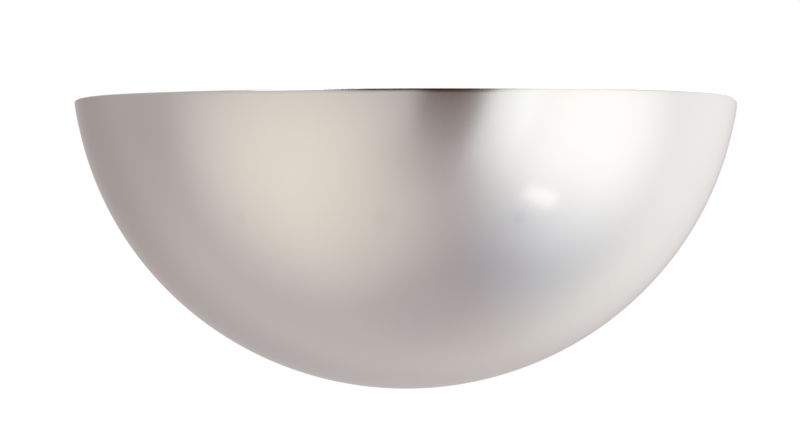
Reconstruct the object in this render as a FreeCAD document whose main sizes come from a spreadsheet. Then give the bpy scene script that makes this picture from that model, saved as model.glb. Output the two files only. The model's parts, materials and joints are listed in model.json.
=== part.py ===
"""Uplighter wall sconce: a half bowl in satin metal over a steel wall strap, with an E27 lamp lying inside.

Row frame, millimetres: X to the right, +Y into the wall, +Z up. The wall is the plane Y = 0 and the room is on the
-Y side. The origin is the centre of the cable hole in the wall strap, midway between its two fixing slots.
"""
import FreeCAD, Part
import Sketcher
import math
import os
import shutil
from FreeCAD import Placement, Rotation, Vector

doc = FreeCAD.newDocument("uplighter")

# ---------------------------------------------------------------- driving dimensions
DIMS = [
    # bowl: an ellipse turned half round a vertical axis that lies in the wall plane
    ("bowl_semi_across", 150.9, "outer ellipse, half width at its own centre"),
    ("bowl_semi_down", 147.8, "outer ellipse, half height"),
    ("bowl_centre_up", 60.8, "height of the ellipse centre"),
    ("rim_up", 45, "height of the rim"),
    ("bowl_gauge", 1, "sheet thickness of the bowl"),
    # frame brazed into the back of the bowl
    ("frame_back", 18.5, "wall to frame"),
    ("frame_gauge", 1.5, "frame thickness"),
    ("frame_semi_across", 148.35, "frame outline, half width"),
    ("frame_semi_down", 145.3, "frame outline, half height"),
    ("frame_width", 11, "width of the frame's band"),
    ("frame_top", 38.5, "height where the frame ends"),
    # back panel
    ("panel_back", 20, "wall to back panel"),
    ("panel_gauge", 1.2, "panel thickness"),
    ("panel_semi_across", 147.7, "panel outline, half width"),
    ("panel_semi_down", 144.6, "panel outline, half height"),
    ("panel_top", 41, "height of the panel's top"),
    ("panel_return_half", 145.5, "half length of the return along the top"),
    ("panel_return_gap", 1, "gap from the return to the wall"),
    ("panel_screw_low", 79, "depth of the lowest panel screw"),
    ("panel_screw_mid_x", 88, ""),
    ("panel_screw_mid_z", 49.4, ""),
    ("panel_screw_top_x", 137.3, ""),
    ("panel_screw_top_z", 22.3, ""),
    # wall strap
    ("strap_gauge", 1.5, "strap thickness"),
    ("strap_tall", 26, "strap height"),
    ("strap_flat_half", 66, "half length of the flat middle"),
    ("strap_step_half", 73, "where the raised ends begin"),
    ("strap_half", 108, "half length of the strap"),
    ("strap_rise", 6.5, "stand-off of the raised ends"),
    ("slot_at", 45, "slot centre from the middle"),
    ("slot_half_run", 3.75, "half the straight run of a slot"),
    ("slot_rad", 2.25, "half the slot width"),
    ("cable_hole_rad", 11, "cable hole"),
    ("cable_bore_rad", 8, "bore of the plastic bush in it"),
    ("stud_at", 97, "stud from the middle"),
    ("stud_rad", 2, "M4 stud"),
    ("stud_reach", 34, "stud tip from the wall"),
    ("pan_head_rad", 4, "M4 pan head"),
    ("pan_head_tall", 2.4, "M4 pan head"),
    ("nut_flats", 7, "M4 nut across flats"),
    ("nut_tall", 3.2, "M4 nut height"),
    ("strap_earth_at", 82, "earth screw on the strap"),
    # hand nuts
    ("washer_rad", 5, "M4 washer"),
    ("washer_gauge", 0.8, "M4 washer"),
    ("washer_hole_rad", 2.15, "M4 washer hole"),
    ("thumb_collar_rad", 4.5, "collar of the knurled nut"),
    ("thumb_collar_tall", 3, ""),
    ("thumb_head_rad", 6.5, "knurled head"),
    ("thumb_head_tall", 6, ""),
    ("thumb_bore_rad", 2.05, "runs on the stud"),
    # lamp axis and its bracket
    ("lamp_out", 62, "lamp axis from the wall"),
    ("arm_at", 80, "holder face of the arm, left of the middle"),
    ("arm_gauge", 1.5, "bracket thickness"),
    ("arm_reach", 84, "arm tip from the wall"),
    ("arm_tall", 30, "arm height"),
    ("foot_end", 57, "end of the foot, left of the middle"),
    ("foot_screw_at", 68, "foot screws, left of the middle"),
    ("foot_screw_half", 8, "foot screws above and below the axis"),
    ("holder_screw_half", 10, "holder screws above and below the axis"),
    # lampholder
    ("holder_base_rad", 18.5, ""),
    ("holder_base_long", 12, ""),
    ("holder_cup_rad", 20.5, ""),
    ("holder_long", 42, ""),
    ("holder_cavity_rad", 14.2, ""),
    ("holder_cavity_floor", 16, ""),
    ("shell_rad", 14.1, "screw shell, outside"),
    ("shell_bore_rad", 13.6, "screw shell, inside"),
    ("shell_long", 19, ""),
    # lamp
    ("lamp_seat", 17.6, "lamp contact from the arm"),
    ("cap_rad", 13.2, "E27 cap over the thread"),
    ("cap_wall", 0.4, ""),
    ("neck_rad", 12.7, "glass in the cap"),
    ("bulb_rad", 30, "A60 envelope"),
    ("bulb_centre", 76, "bulb centre from the contact"),
    ("glass_wall", 0.8, ""),
    ("flute_rad", 39.8, "concave part of the envelope"),
    ("flute_start", 30, ""),
    # terminal block
    ("block_down", 38.5, "block centre under the axis"),
    ("block_half_long", 15.5, ""),
    ("block_half_tall", 8.5, ""),
    ("block_deep", 12.5, ""),
    ("pole_pitch", 10, ""),
    ("tube_rad", 2.5, "brass terminal"),
    ("tube_bore_rad", 1.6, "brass terminal bore"),
    ("tube_long", 14, ""),
    ("tube_out", 6, "terminal axis from the panel"),
    # grommet, earth point
    ("grommet_at", 56, "left of the middle"),
    ("grommet_down", 38, ""),
    ("grommet_hole_rad", 5.5, ""),
    ("grommet_bore_rad", 3.4, ""),
    ("earth_at", 50, "right of the middle"),
    ("earth_down", 36, ""),
    ("wire_rad", 1.1, "insulated wire"),
    ("core_rad", 0.7, "bare conductor"),
]
sheet = doc.addObject("Spreadsheet::Sheet", "Dims")
for row, (alias, number, note) in enumerate(DIMS, start=1):
    sheet.set("A%d" % row, note or alias.replace("_", " "))
    sheet.set("B%d" % row, str(number))
    sheet.setAlias("B%d" % row, alias)
doc.recompute()


NUMBERS = {alias: float(number) for alias, number, note in DIMS}
ALIASES = set(NUMBERS)


def val(expression):
    """The number a sum of aliases and figures comes to, for first positions and for shapes built point by point."""
    tokens, word = [], ""
    for ch in str(expression) + " ":
        if ch.isalnum() or ch in "_.":
            word += ch
            continue
        if word:
            tokens.append(NUMBERS[word] if word in NUMBERS else float(word))
            word = ""
        if ch != " ":
            tokens.append(ch)

    def item():
        t = tokens.pop(0)
        if t == "-":
            return -item()
        if t == "+":
            return item()
        if t == "(":
            total = terms()
            tokens.pop(0)
            return total
        return t

    def factors():
        total = item()
        while tokens and tokens[0] in ("*", "/"):
            total = total * item() if tokens.pop(0) == "*" else total / item()
        return total

    def terms():
        total = factors()
        while tokens and tokens[0] in ("+", "-"):
            total = total + factors() if tokens.pop(0) == "+" else total - factors()
        return total

    return terms()


def bound(expression):
    """The same expression with the sheet's name before each alias."""
    text, out, word = str(expression), "", ""
    for ch in text + " ":
        if ch.isalnum() or ch == "_":
            word += ch
            continue
        out += ("Dims." + word if word in ALIASES else word) + ch
        word = ""
    return out.strip()


def bind(obj, prop, expression):
    obj.setExpression(prop, bound(expression))


# ---------------------------------------------------------------- sketches and features
def new_body(label):
    body = doc.addObject("PartDesign::Body", label)
    body.Label = label
    return body


def origin_plane(body, role):
    return next(f for f in body.Origin.OriginFeatures if f.Role == role)


def new_sketch(body, name, role, offset=None):
    sk = body.newObject("Sketcher::SketchObject", name)
    sk.AttachmentSupport = [(origin_plane(body, role), "")]
    sk.MapMode = "FlatFace"
    if offset is not None:
        bind(sk, "AttachmentOffset.Base.z", offset)
    return sk


def pin(sk, geo, pos, x, y):
    """Ties a point of a sketch to the origin by two expressions."""
    for kind, axis, expression in (("DistanceX", -2, x), ("DistanceY", -1, y)):
        number = val(expression)
        if str(expression) == "0":
            sk.addConstraint(Sketcher.Constraint("PointOnObject", geo, pos, axis))
            continue
        c = sk.addConstraint(Sketcher.Constraint(kind, -1, 1, geo, pos, number))
        sk.setExpression("Constraints[%d]" % c, bound(expression))


def polygon(sk, points):
    first = sk.GeometryCount
    n = len(points)
    place = [Vector(val(a), val(b), 0) for a, b in points]
    for i in range(n):
        sk.addGeometry(Part.LineSegment(place[i], place[(i + 1) % n]), False)
    for i in range(n):
        sk.addConstraint(Sketcher.Constraint("Coincident", first + i, 2, first + (i + 1) % n, 1))
    for i, (a, b) in enumerate(points):
        pin(sk, first + i, 1, a, b)


def circle(sk, x, y, radius):
    g = sk.addGeometry(Part.Circle(Vector(val(x), val(y), 0), Vector(0, 0, 1), val(radius)), False)
    pin(sk, g, 3, x, y)
    c = sk.addConstraint(Sketcher.Constraint("Radius", g, val(radius)))
    sk.setExpression("Constraints[%d]" % c, bound(radius))


def slot_hole(sk, x, y, half_run, radius):
    """A slot along the sketch's X."""
    cx, cy, run, r = val(x), val(y), val(half_run), val(radius)
    left = sk.addGeometry(Part.ArcOfCircle(Part.Circle(Vector(cx - run, cy, 0), Vector(0, 0, 1), r), math.pi / 2, 3 * math.pi / 2), False)
    right = sk.addGeometry(Part.ArcOfCircle(Part.Circle(Vector(cx + run, cy, 0), Vector(0, 0, 1), r), -math.pi / 2, math.pi / 2), False)
    top = sk.addGeometry(Part.LineSegment(Vector(cx - run, cy + r, 0), Vector(cx + run, cy + r, 0)), False)
    low = sk.addGeometry(Part.LineSegment(Vector(cx - run, cy - r, 0), Vector(cx + run, cy - r, 0)), False)
    for a, pa, b, pb in ((left, 1, top, 1), (left, 2, low, 1), (right, 2, top, 2), (right, 1, low, 2)):
        sk.addConstraint(Sketcher.Constraint("Tangent", a, pa, b, pb))
    pin(sk, left, 3, "%s - %s" % (x, half_run), y)
    pin(sk, right, 3, "%s + %s" % (x, half_run), y)
    c = sk.addConstraint(Sketcher.Constraint("Radius", left, r))
    sk.setExpression("Constraints[%d]" % c, bound(radius))


def hold_axes(sk, g, across, down, up):
    """Ties an ellipse or its arc g, with its long and short axes shown as lines g + 1 and g + 2, to expressions."""
    flat = val(across) > val(down)
    sk.addConstraint(Sketcher.Constraint("Horizontal" if flat else "Vertical", g + 1))
    pin(sk, g, 3, "0", up)
    for line, expression in ((g + 1, across if flat else down), (g + 2, down if flat else across)):
        c = sk.addConstraint(Sketcher.Constraint("Distance", line, 2 * val(expression)))
        sk.setExpression("Constraints[%d]" % c, bound("2 * (%s)" % expression))


def ellipse_curve(across, down, up):
    a, b, z = val(across), val(down), val(up)
    if a > b:
        return Part.Ellipse(Vector(a, z, 0), Vector(0, z + b, 0), Vector(0, z, 0))
    return Part.Ellipse(Vector(0, z + b, 0), Vector(a, z, 0), Vector(0, z, 0))


def ellipse(sk, across, down, up):
    g = sk.addGeometry(ellipse_curve(across, down, up), False)
    sk.exposeInternalGeometry(g)
    hold_axes(sk, g, across, down, up)
    return g


def ellipse_arc(sk, across, down, up, top):
    """The right-hand arc of an ellipse from its lowest point up to height top. Returns (geometry, low end, top end)."""
    a, b, z, t = val(across), val(down), val(up), val(top)
    curve = ellipse_curve(across, down, up)
    low_at, top_at = (curve.parameter(p) for p in (Vector(0, z - b, 0), Vector(a * math.sqrt(1 - ((t - z) / b) ** 2), t, 0)))
    # the arc runs the way the parameter grows, without passing the left side
    first, last = (low_at, top_at) if curve.value((low_at + (top_at if top_at > low_at else top_at + 2 * math.pi)) / 2).x > 0 else (top_at, low_at)
    if last < first:
        last += 2 * math.pi
    g = sk.addGeometry(Part.ArcOfEllipse(curve, first, last), False)
    sk.exposeInternalGeometry(g)
    hold_axes(sk, g, across, down, up)
    low, high = (1, 2) if sk.getPoint(g, 1).y < sk.getPoint(g, 2).y else (2, 1)
    sk.addConstraint(Sketcher.Constraint("PointOnObject", g, low, -2))
    c = sk.addConstraint(Sketcher.Constraint("DistanceY", -1, 1, g, high, t))
    sk.setExpression("Constraints[%d]" % c, bound(top))
    return g, low, high


def pad(body, sk, length, middle=False, back=False, name="Pad"):
    f = body.newObject("PartDesign::Pad", name)
    f.Profile = sk
    bind(f, "Length", length)
    if middle:
        f.SideType = "Symmetric"
    f.Reversed = back
    sk.Visibility = False
    doc.recompute()
    return f


def pocket(body, sk, length, middle=False, back=False, name="Pocket"):
    """A cut. It stops the script if it takes nothing away."""
    before = body.Shape.Volume
    f = body.newObject("PartDesign::Pocket", name)
    f.Profile = sk
    bind(f, "Length", length)
    if middle:
        f.SideType = "Symmetric"
    f.Reversed = back
    doc.recompute()
    if not body.Shape.Volume < before - 0.01:
        raise RuntimeError("%s cuts nothing from %s" % (name, body.Label))
    return f


def turn(body, sk, axis, angle=360, name="Revolution", middle=False, back=False):
    f = body.newObject("PartDesign::Revolution", name)
    f.Profile = sk
    f.ReferenceAxis = (sk, [axis])
    f.Angle = angle
    f.Midplane = middle
    f.Reversed = back
    doc.recompute()
    return f


def edges(body, keep):
    """Names of the edges of a body's last feature for which keep(edge) is true."""
    tip = body.Tip
    return tip, ["Edge%d" % (i + 1) for i, e in enumerate(tip.Shape.Edges) if keep(e)]


def round_edges(body, radius, keep, name="Fillet"):
    tip, names = edges(body, keep)
    if not names:
        raise RuntimeError("no edge to round on " + body.Label)
    f = body.newObject("PartDesign::Fillet", name)
    f.Base = (tip, names)
    f.Radius = radius
    doc.recompute()
    return f


def put(obj, x="0", y="0", z="0", rotation=None):
    obj.Placement = Placement(Vector(val(x), val(y), val(z)), rotation or Rotation())
    for k, e in zip("xyz", (x, y, z)):
        if str(e) != "0":
            obj.setExpression("Placement.Base." + k, bound(e))
    return obj


# turns that lay a primitive's own +Z along a row axis
TO = {
    "+X": Rotation(Vector(0, 1, 0), 90),
    "-X": Rotation(Vector(0, 1, 0), -90),
    "+Y": Rotation(Vector(1, 0, 0), -90),
    "-Y": Rotation(Vector(1, 0, 0), 90),
    "+Z": Rotation(),
    "-Z": Rotation(Vector(1, 0, 0), 180),
}


def rod(name, radius, height, x, y, z, along="+Z"):
    c = doc.addObject("Part::Cylinder", name)
    bind(c, "Radius", radius)
    bind(c, "Height", height)
    return put(c, x, y, z, TO[along])


def block(name, dx, dy, dz, x, y, z):
    """A box from its low corner."""
    b = doc.addObject("Part::Box", name)
    bind(b, "Length", dx)
    bind(b, "Width", dy)
    bind(b, "Height", dz)
    return put(b, x, y, z)


def fused(name, *shapes):
    f = doc.addObject("Part::MultiFuse", name)
    f.Shapes = list(shapes)
    return f


def less(name, base, *tools):
    c = doc.addObject("Part::Cut", name)
    c.Base = base
    c.Tool = tools[0] if len(tools) == 1 else fused(name + "_tools", *tools)
    return c


def group(label, *shapes):
    """One node of separate solids."""
    g = doc.addObject("Part::Compound", label)
    g.Links = list(shapes)
    g.Label = label
    return g


def screw(name, x, y, z, along, shank_radius, shank_long, head_radius, head_tall, slot=True):
    """A pan-head screw: the head's seat is at x, y, z and the shank runs along the given axis."""
    away = {"+": "-", "-": "+"}[along[0]] + along[1]
    shank = rod(name + "_shank", shank_radius, shank_long, x, y, z, along)
    head = rod(name + "_head", head_radius, head_tall, x, y, z, away)
    # crown of the pan head
    doc.recompute()
    crown = doc.addObject("Part::Fillet", name + "_crown")
    crown.Base = head
    far = max(range(len(head.Shape.Edges)), key=lambda i: (head.Shape.Edges[i].BoundBox.Center - Vector(val(x), val(y), val(z))).Length + (0 if head.Shape.Edges[i].isClosed() else -100))
    r = 0.45 * val(head_tall)
    crown.Edges = [(far + 1, r, r)]
    whole = fused(name + "_blank", crown, shank)
    # cross recess
    width, arm, deep = "0.28 * (%s)" % head_radius, "1.15 * (%s)" % head_radius, "0.55 * (%s)" % head_tall
    sign = "-" if along[0] == "+" else "+"
    cross = []
    for i in (0, 1):
        bar = doc.addObject("Part::Box", name + "_cross%d" % i)
        for prop, e in (("Length", arm if i == 0 else width), ("Width", width if i == 0 else arm), ("Height", "2 * (%s)" % deep)):
            bind(bar, prop, e)
        turn_ = TO[along]
        lx, ly = (val(arm), val(width)) if i == 0 else (val(width), val(arm))
        offset = turn_.multVec(Vector(-lx / 2, -ly / 2, -val(head_tall) - val(deep)))
        bar.Placement = Placement(Vector(val(x), val(y), val(z)) + offset, turn_)
        cross.append(bar)
    return less(name, whole, *cross)


def hex_nut(name, x, y, z, along, flats, tall, bore):
    """A hexagon nut whose seat is at x, y, z and whose body stands along the given axis."""
    p = doc.addObject("Part::Prism", name + "_prism")
    p.Polygon = 6
    bind(p, "Circumradius", "(%s) / 1.7320508" % flats)
    bind(p, "Height", tall)
    put(p, x, y, z, TO[along])
    hole = rod(name + "_hole", bore, tall, x, y, z, along)
    return less(name, p, hole)


def ring(name, x, y, z, along, outer, inner, thick):
    return less(name, rod(name + "_disc", outer, thick, x, y, z, along), rod(name + "_hole", inner, thick, x, y, z, along))


# ================================================================ bowl
# One sheet: the outer and inner ellipses of the profile, joined by a full round at the rim, turned through half a circle.
bowl = new_body("bowl_shell")
sk = new_sketch(bowl, "bowl_profile", "XZ_Plane")
rim_mid = "rim_up - bowl_gauge / 2"
go, olow, otop = ellipse_arc(sk, "bowl_semi_across", "bowl_semi_down", "bowl_centre_up", rim_mid)
gi, ilow, itop = ellipse_arc(sk, "bowl_semi_across - bowl_gauge", "bowl_semi_down - bowl_gauge", "bowl_centre_up", rim_mid)
po, pi_ = sk.getPoint(go, otop), sk.getPoint(gi, itop)
gr = sk.addGeometry(Part.ArcOfCircle(Part.Circle((po + pi_) * 0.5, Vector(0, 0, 1), (po - pi_).Length / 2), 0, math.pi), False)
sk.addConstraint(Sketcher.Constraint("Coincident", gr, 1, go, otop))
sk.addConstraint(Sketcher.Constraint("Coincident", gr, 2, gi, itop))
c = sk.addConstraint(Sketcher.Constraint("DistanceY", -1, 1, gr, 3, val(rim_mid)))
sk.setExpression("Constraints[%d]" % c, bound(rim_mid))
ga = sk.addGeometry(Part.LineSegment(sk.getPoint(go, olow), sk.getPoint(gi, ilow)), False)
sk.addConstraint(Sketcher.Constraint("Coincident", ga, 1, go, olow))
sk.addConstraint(Sketcher.Constraint("Coincident", ga, 2, gi, ilow))
turn(bowl, sk, "V_Axis", 180)
if bowl.Shape.BoundBox.YMax > 1:
    bowl.Tip.Reversed = True
    doc.recompute()

# ================================================================ frame brazed inside the back of the bowl
frame = new_body("rear_frame")
sk = new_sketch(frame, "frame_band", "XZ_Plane", "frame_back")
ellipse(sk, "frame_semi_across", "frame_semi_down", "bowl_centre_up")
ellipse(sk, "frame_semi_across - frame_width", "frame_semi_down - frame_width", "bowl_centre_up")
pad(frame, sk, "frame_gauge")
sk = new_sketch(frame, "frame_top_cut", "XZ_Plane", "frame_back")
polygon(sk, [("-bowl_semi_across - 10", "frame_top"), ("bowl_semi_across + 10", "frame_top"), ("bowl_semi_across + 10", "300"), ("-bowl_semi_across - 10", "300")])
pocket(frame, sk, "4 * frame_gauge", middle=True, name="FrameTopCut")
PANEL_SCREWS = [
    ("0", "-panel_screw_low"),
    ("panel_screw_mid_x", "-panel_screw_mid_z"),
    ("-panel_screw_mid_x", "-panel_screw_mid_z"),
    ("panel_screw_top_x", "panel_screw_top_z"),
    ("-panel_screw_top_x", "panel_screw_top_z"),
]
sk = new_sketch(frame, "frame_holes", "XZ_Plane", "frame_back")
for x, z in PANEL_SCREWS:
    circle(sk, x, z, "1.7")
pocket(frame, sk, "4 * frame_gauge", middle=True, name="FrameHoles")

# ================================================================ back panel, with a return to the wall along its top
panel = new_body("back_panel")
sk = new_sketch(panel, "panel_outline", "XZ_Plane", "panel_back")
ellipse(sk, "panel_semi_across", "panel_semi_down", "bowl_centre_up")
pad(panel, sk, "panel_gauge")
sk = new_sketch(panel, "panel_top_cut", "XZ_Plane", "panel_back")
polygon(sk, [("-bowl_semi_across - 10", "panel_top"), ("bowl_semi_across + 10", "panel_top"), ("bowl_semi_across + 10", "300"), ("-bowl_semi_across - 10", "300")])
pocket(panel, sk, "6 * panel_gauge", middle=True, name="PanelTopCut")
sk = new_sketch(panel, "panel_return", "XY_Plane", "panel_top - panel_gauge")
polygon(sk, [("-panel_return_half", "-panel_back - panel_gauge / 2"), ("panel_return_half", "-panel_back - panel_gauge / 2"), ("panel_return_half", "-panel_return_gap"), ("-panel_return_half", "-panel_return_gap")])
pad(panel, sk, "panel_gauge", name="Return")
round_edges(panel, 1.6, lambda e: e.Length > 280 and abs(e.BoundBox.Center.z - val("panel_top")) < 0.01 and abs(e.BoundBox.Center.y + val("panel_back + panel_gauge")) < 0.01, name="OuterBend")
round_edges(panel, 0.6, lambda e: 280 < e.Length < 300 and abs(e.BoundBox.Center.z - val("panel_top - panel_gauge")) < 0.01 and abs(e.BoundBox.Center.y + val("panel_back")) < 0.01, name="InnerBend")
round_edges(panel, 5, lambda e: abs(e.Length - val("panel_gauge")) < 0.01 and abs(e.BoundBox.Center.y + val("panel_return_gap")) < 0.01, name="ReturnCorners")
sk = new_sketch(panel, "panel_holes", "XZ_Plane", "panel_back")
for x, z in PANEL_SCREWS:
    circle(sk, x, z, "1.55")
circle(sk, "stud_at", "0", "stud_rad + 0.5")
circle(sk, "-stud_at", "0", "stud_rad + 0.5")
for s in ("", "-"):
    circle(sk, "-foot_screw_at", s + "foot_screw_half", "2.15")
circle(sk, "-grommet_at", "-grommet_down", "grommet_hole_rad")
circle(sk, "earth_at", "-earth_down", "2.15")
circle(sk, "pole_pitch / 2", "-block_down", "1.55")
circle(sk, "-pole_pitch / 2", "-block_down", "1.55")
pocket(panel, sk, "6 * panel_gauge", middle=True, name="PanelHoles")

# ================================================================ wall strap
strap = new_body("wall_bracket")
sk = new_sketch(strap, "strap_bend", "XY_Plane")
gauge, rise = "strap_gauge", "strap_rise"
polygon(sk, [
    ("-strap_half", "-strap_rise"), ("-strap_step_half", "-strap_rise"), ("-strap_flat_half", "0"), ("strap_flat_half", "0"),
    ("strap_step_half", "-strap_rise"), ("strap_half", "-strap_rise"), ("strap_half", "-strap_rise - strap_gauge"),
    ("strap_step_half - 0.6", "-strap_rise - strap_gauge"), ("strap_flat_half - 0.6", "-strap_gauge"),
    ("-strap_flat_half + 0.6", "-strap_gauge"), ("-strap_step_half + 0.6", "-strap_rise - strap_gauge"), ("-strap_half", "-strap_rise - strap_gauge"),
])
pad(strap, sk, "strap_tall", middle=True)
sk = new_sketch(strap, "strap_holes", "XZ_Plane")
circle(sk, "0", "0", "cable_hole_rad")
slot_hole(sk, "slot_at", "0", "slot_half_run", "slot_rad")
slot_hole(sk, "-slot_at", "0", "slot_half_run", "slot_rad")
circle(sk, "stud_at", "0", "stud_rad + 0.05")
circle(sk, "-stud_at", "0", "stud_rad + 0.05")
circle(sk, "strap_earth_at", "0", "stud_rad + 0.05")
pocket(strap, sk, "30", middle=True, name="StrapHoles")
round_edges(strap, 6, lambda e: abs(e.Length - 1.5) < 0.01 and abs(abs(e.BoundBox.Center.x) - val("strap_half")) < 0.01, name="StrapCorners")

bush = new_body("cable_bush")
sk = new_sketch(bush, "bush_profile", "YZ_Plane")
polygon(sk, [
    ("-0.1", "cable_bore_rad + 0.8"), ("-0.1", "cable_hole_rad - 0.1"), ("-strap_gauge - 0.02", "cable_hole_rad - 0.1"), ("-strap_gauge - 0.02", "cable_hole_rad + 1.4"),
    ("-strap_gauge - 0.9", "cable_hole_rad + 1.4"), ("-strap_gauge - 1.6", "cable_hole_rad + 0.6"), ("-strap_gauge - 1.6", "cable_bore_rad + 0.4"), ("-strap_gauge - 1.3", "cable_bore_rad"), ("-0.6", "cable_bore_rad"),
])
turn(bush, sk, "H_Axis")

studs = group("mounting_studs", *[
    screw("stud_" + side, s + "stud_at", "-strap_rise", "0", "-Y", "stud_rad", "stud_reach - strap_rise", "pan_head_rad", "pan_head_tall")
    for side, s in (("left", "-"), ("right", ""))
])
lock_nuts = group("stud_lock_nuts", *[
    hex_nut("lock_nut_" + side, s + "stud_at", "-strap_rise - strap_gauge", "0", "-Y", "nut_flats", "nut_tall", "stud_rad + 0.05")
    for side, s in (("left", "-"), ("right", ""))
])
strap_earth_washer = ring("cup", "strap_earth_at", "-strap_rise - strap_gauge", "0", "-Y", "washer_rad - 0.5", "washer_hole_rad", "1.2")
strap_earth_washer.Label = "bracket_earth_washer"
strap_earth_screw = screw("strap_earth", "strap_earth_at", "-strap_rise - strap_gauge - 1.2", "0", "+Y", "stud_rad", "6.2", "pan_head_rad", "pan_head_tall")
strap_earth_screw.Label = "bracket_earth_screw"

# ================================================================ screws that hold the panel to the frame
panel_screws = group("panel_screws", *[
    screw("panel_screw_%d" % i, x, "-frame_back", z, "-Y", "1.5", "5.5", "2.75", "2")
    for i, (x, z) in enumerate(PANEL_SCREWS)
])

# ================================================================ hand nuts and their washers
washers, thumbs = [], []
for side, s in (("left", "-"), ("right", "")):
    seat = "-panel_back - panel_gauge"
    w = ring("nut_washer_disc_" + side, s + "stud_at", seat, "0", "-Y", "washer_rad", "washer_hole_rad", "washer_gauge")
    w.Label = "nut_washer_" + side
    washers.append(w)
    nut = new_body("thumb_nut_" + side)
    sk = new_sketch(nut, "thumb_profile_" + side, "YZ_Plane")
    # sketch X is the row's Y; the nut stands from 0 towards -Y
    polygon(sk, [
        ("0", "thumb_bore_rad"), ("0", "thumb_collar_rad"), ("-thumb_collar_tall + 0.8", "thumb_collar_rad"), ("-thumb_collar_tall", "thumb_collar_rad - 0.5"),
        ("-thumb_collar_tall", "thumb_head_rad - 0.5"), ("-thumb_collar_tall - 0.5", "thumb_head_rad"),
        ("-thumb_collar_tall - thumb_head_tall + 0.5", "thumb_head_rad"), ("-thumb_collar_tall - thumb_head_tall", "thumb_head_rad - 0.5"),
        ("-thumb_collar_tall - thumb_head_tall", "thumb_bore_rad"),
    ])
    turn(nut, sk, "H_Axis")
    # knurl: one groove along the head, repeated round it
    sk = new_sketch(nut, "knurl_" + side, "XZ_Plane", "thumb_collar_tall")
    polygon(sk, [("-0.3", "thumb_head_rad + 0.3"), ("0", "thumb_head_rad - 0.35"), ("0.3", "thumb_head_rad + 0.3")])
    groove = pocket(nut, sk, "thumb_head_tall", back=True, name="KnurlGroove_" + side)
    before = nut.Shape.Volume
    pattern = nut.newObject("PartDesign::PolarPattern", "Knurl_" + side)
    pattern.Originals = [groove]
    pattern.Axis = (sk, ["N_Axis"])
    pattern.Angle = 360
    pattern.Occurrences = 30
    nut.Tip = pattern
    doc.recompute()
    if not nut.Shape.Volume < before - 1:
        raise RuntimeError("the knurl cut nothing")
    put(nut, s + "stud_at", "-panel_back - panel_gauge - washer_gauge", "0")
    thumbs.append(nut)

# ================================================================ lamp bracket: foot on the panel, arm out into the bowl
arm = new_body("lamp_bracket")
sk = new_sketch(arm, "arm_bend", "XY_Plane")
polygon(sk, [
    ("-arm_at - arm_gauge", "-panel_back - panel_gauge"), ("-foot_end", "-panel_back - panel_gauge"),
    ("-foot_end", "-panel_back - panel_gauge - arm_gauge"), ("-arm_at", "-panel_back - panel_gauge - arm_gauge"),
    ("-arm_at", "-arm_reach"), ("-arm_at - arm_gauge", "-arm_reach"),
])
pad(arm, sk, "arm_tall", middle=True)
sk = new_sketch(arm, "foot_holes", "XZ_Plane")
for s in ("", "-"):
    circle(sk, "-foot_screw_at", s + "foot_screw_half", "2.15")
pocket(arm, sk, "60", middle=True, name="FootHoles")
sk = new_sketch(arm, "arm_holes", "YZ_Plane", "-arm_at - arm_gauge / 2")
for s in ("", "-"):
    circle(sk, "-lamp_out", s + "holder_screw_half", "1.65")
pocket(arm, sk, "12", middle=True, name="ArmHoles")
round_edges(arm, 11, lambda e: abs(e.Length - 1.5) < 0.01 and abs(e.BoundBox.Center.y + val("arm_reach")) < 0.01, name="ArmEnd")
round_edges(arm, 4, lambda e: abs(e.Length - 1.5) < 0.01 and abs(e.BoundBox.Center.x + val("foot_end")) < 0.01, name="FootEnd")
round_edges(arm, 2, lambda e: abs(e.Length - 30) < 0.01 and abs(e.BoundBox.Center.x + val("arm_at + arm_gauge")) < 0.01 and abs(e.BoundBox.Center.y + val("panel_back + panel_gauge")) < 0.01, name="ArmBend")
round_edges(arm, 0.5, lambda e: abs(e.Length - 30) < 0.01 and abs(e.BoundBox.Center.x + val("arm_at")) < 0.01 and abs(e.BoundBox.Center.y + val("panel_back + panel_gauge + arm_gauge")) < 0.01, name="ArmBendInside")

arm_screws = group("lamp_bracket_screws", *[
    screw("foot_screw_" + n, "-foot_screw_at", "-panel_back - panel_gauge - arm_gauge", s + "foot_screw_half", "+Y", "stud_rad", "8.5", "pan_head_rad", "pan_head_tall")
    for n, s in (("upper", ""), ("lower", "-"))
])
arm_nuts = group("lamp_bracket_nuts", *[
    hex_nut("foot_nut_" + n, "-foot_screw_at", "-panel_back", s + "foot_screw_half", "+Y", "nut_flats", "nut_tall", "stud_rad + 0.05")
    for n, s in (("upper", ""), ("lower", "-"))
])

# ================================================================ lampholder: ceramic, screw shell, contact, terminals
LAMP_Y, ARM_X = "-lamp_out", "-arm_at"
holder = new_body("lampholder_body")
sk = new_sketch(holder, "holder_profile", "XY_Plane")
polygon(sk, [
    ("0", "0"), ("0", "holder_base_rad"), ("holder_base_long", "holder_base_rad"), ("holder_base_long + 3", "holder_cup_rad"),
    ("holder_long - 1.5", "holder_cup_rad"), ("holder_long", "holder_cup_rad - 1.5"), ("holder_long", "holder_cavity_rad"),
    ("holder_cavity_floor", "holder_cavity_rad"), ("holder_cavity_floor", "0"),
])
turn(holder, sk, "H_Axis")
sk = new_sketch(holder, "terminal_pockets", "XZ_Plane", "11")
polygon(sk, [("3.5", "-5"), ("10.5", "-5"), ("10.5", "5"), ("3.5", "5")])
pocket(holder, sk, "12", back=True, name="FrontPocket")
sk = new_sketch(holder, "terminal_pockets_rear", "XZ_Plane", "-11")
polygon(sk, [("3.5", "-5"), ("10.5", "-5"), ("10.5", "5"), ("3.5", "5")])
pocket(holder, sk, "12", name="RearPocket")
sk = new_sketch(holder, "wire_holes", "XY_Plane", "-4")
for s in ("", "-"):
    circle(sk, "7", s + "13.5", "1.6")
pocket(holder, sk, "20", name="WireHoles")
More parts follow.
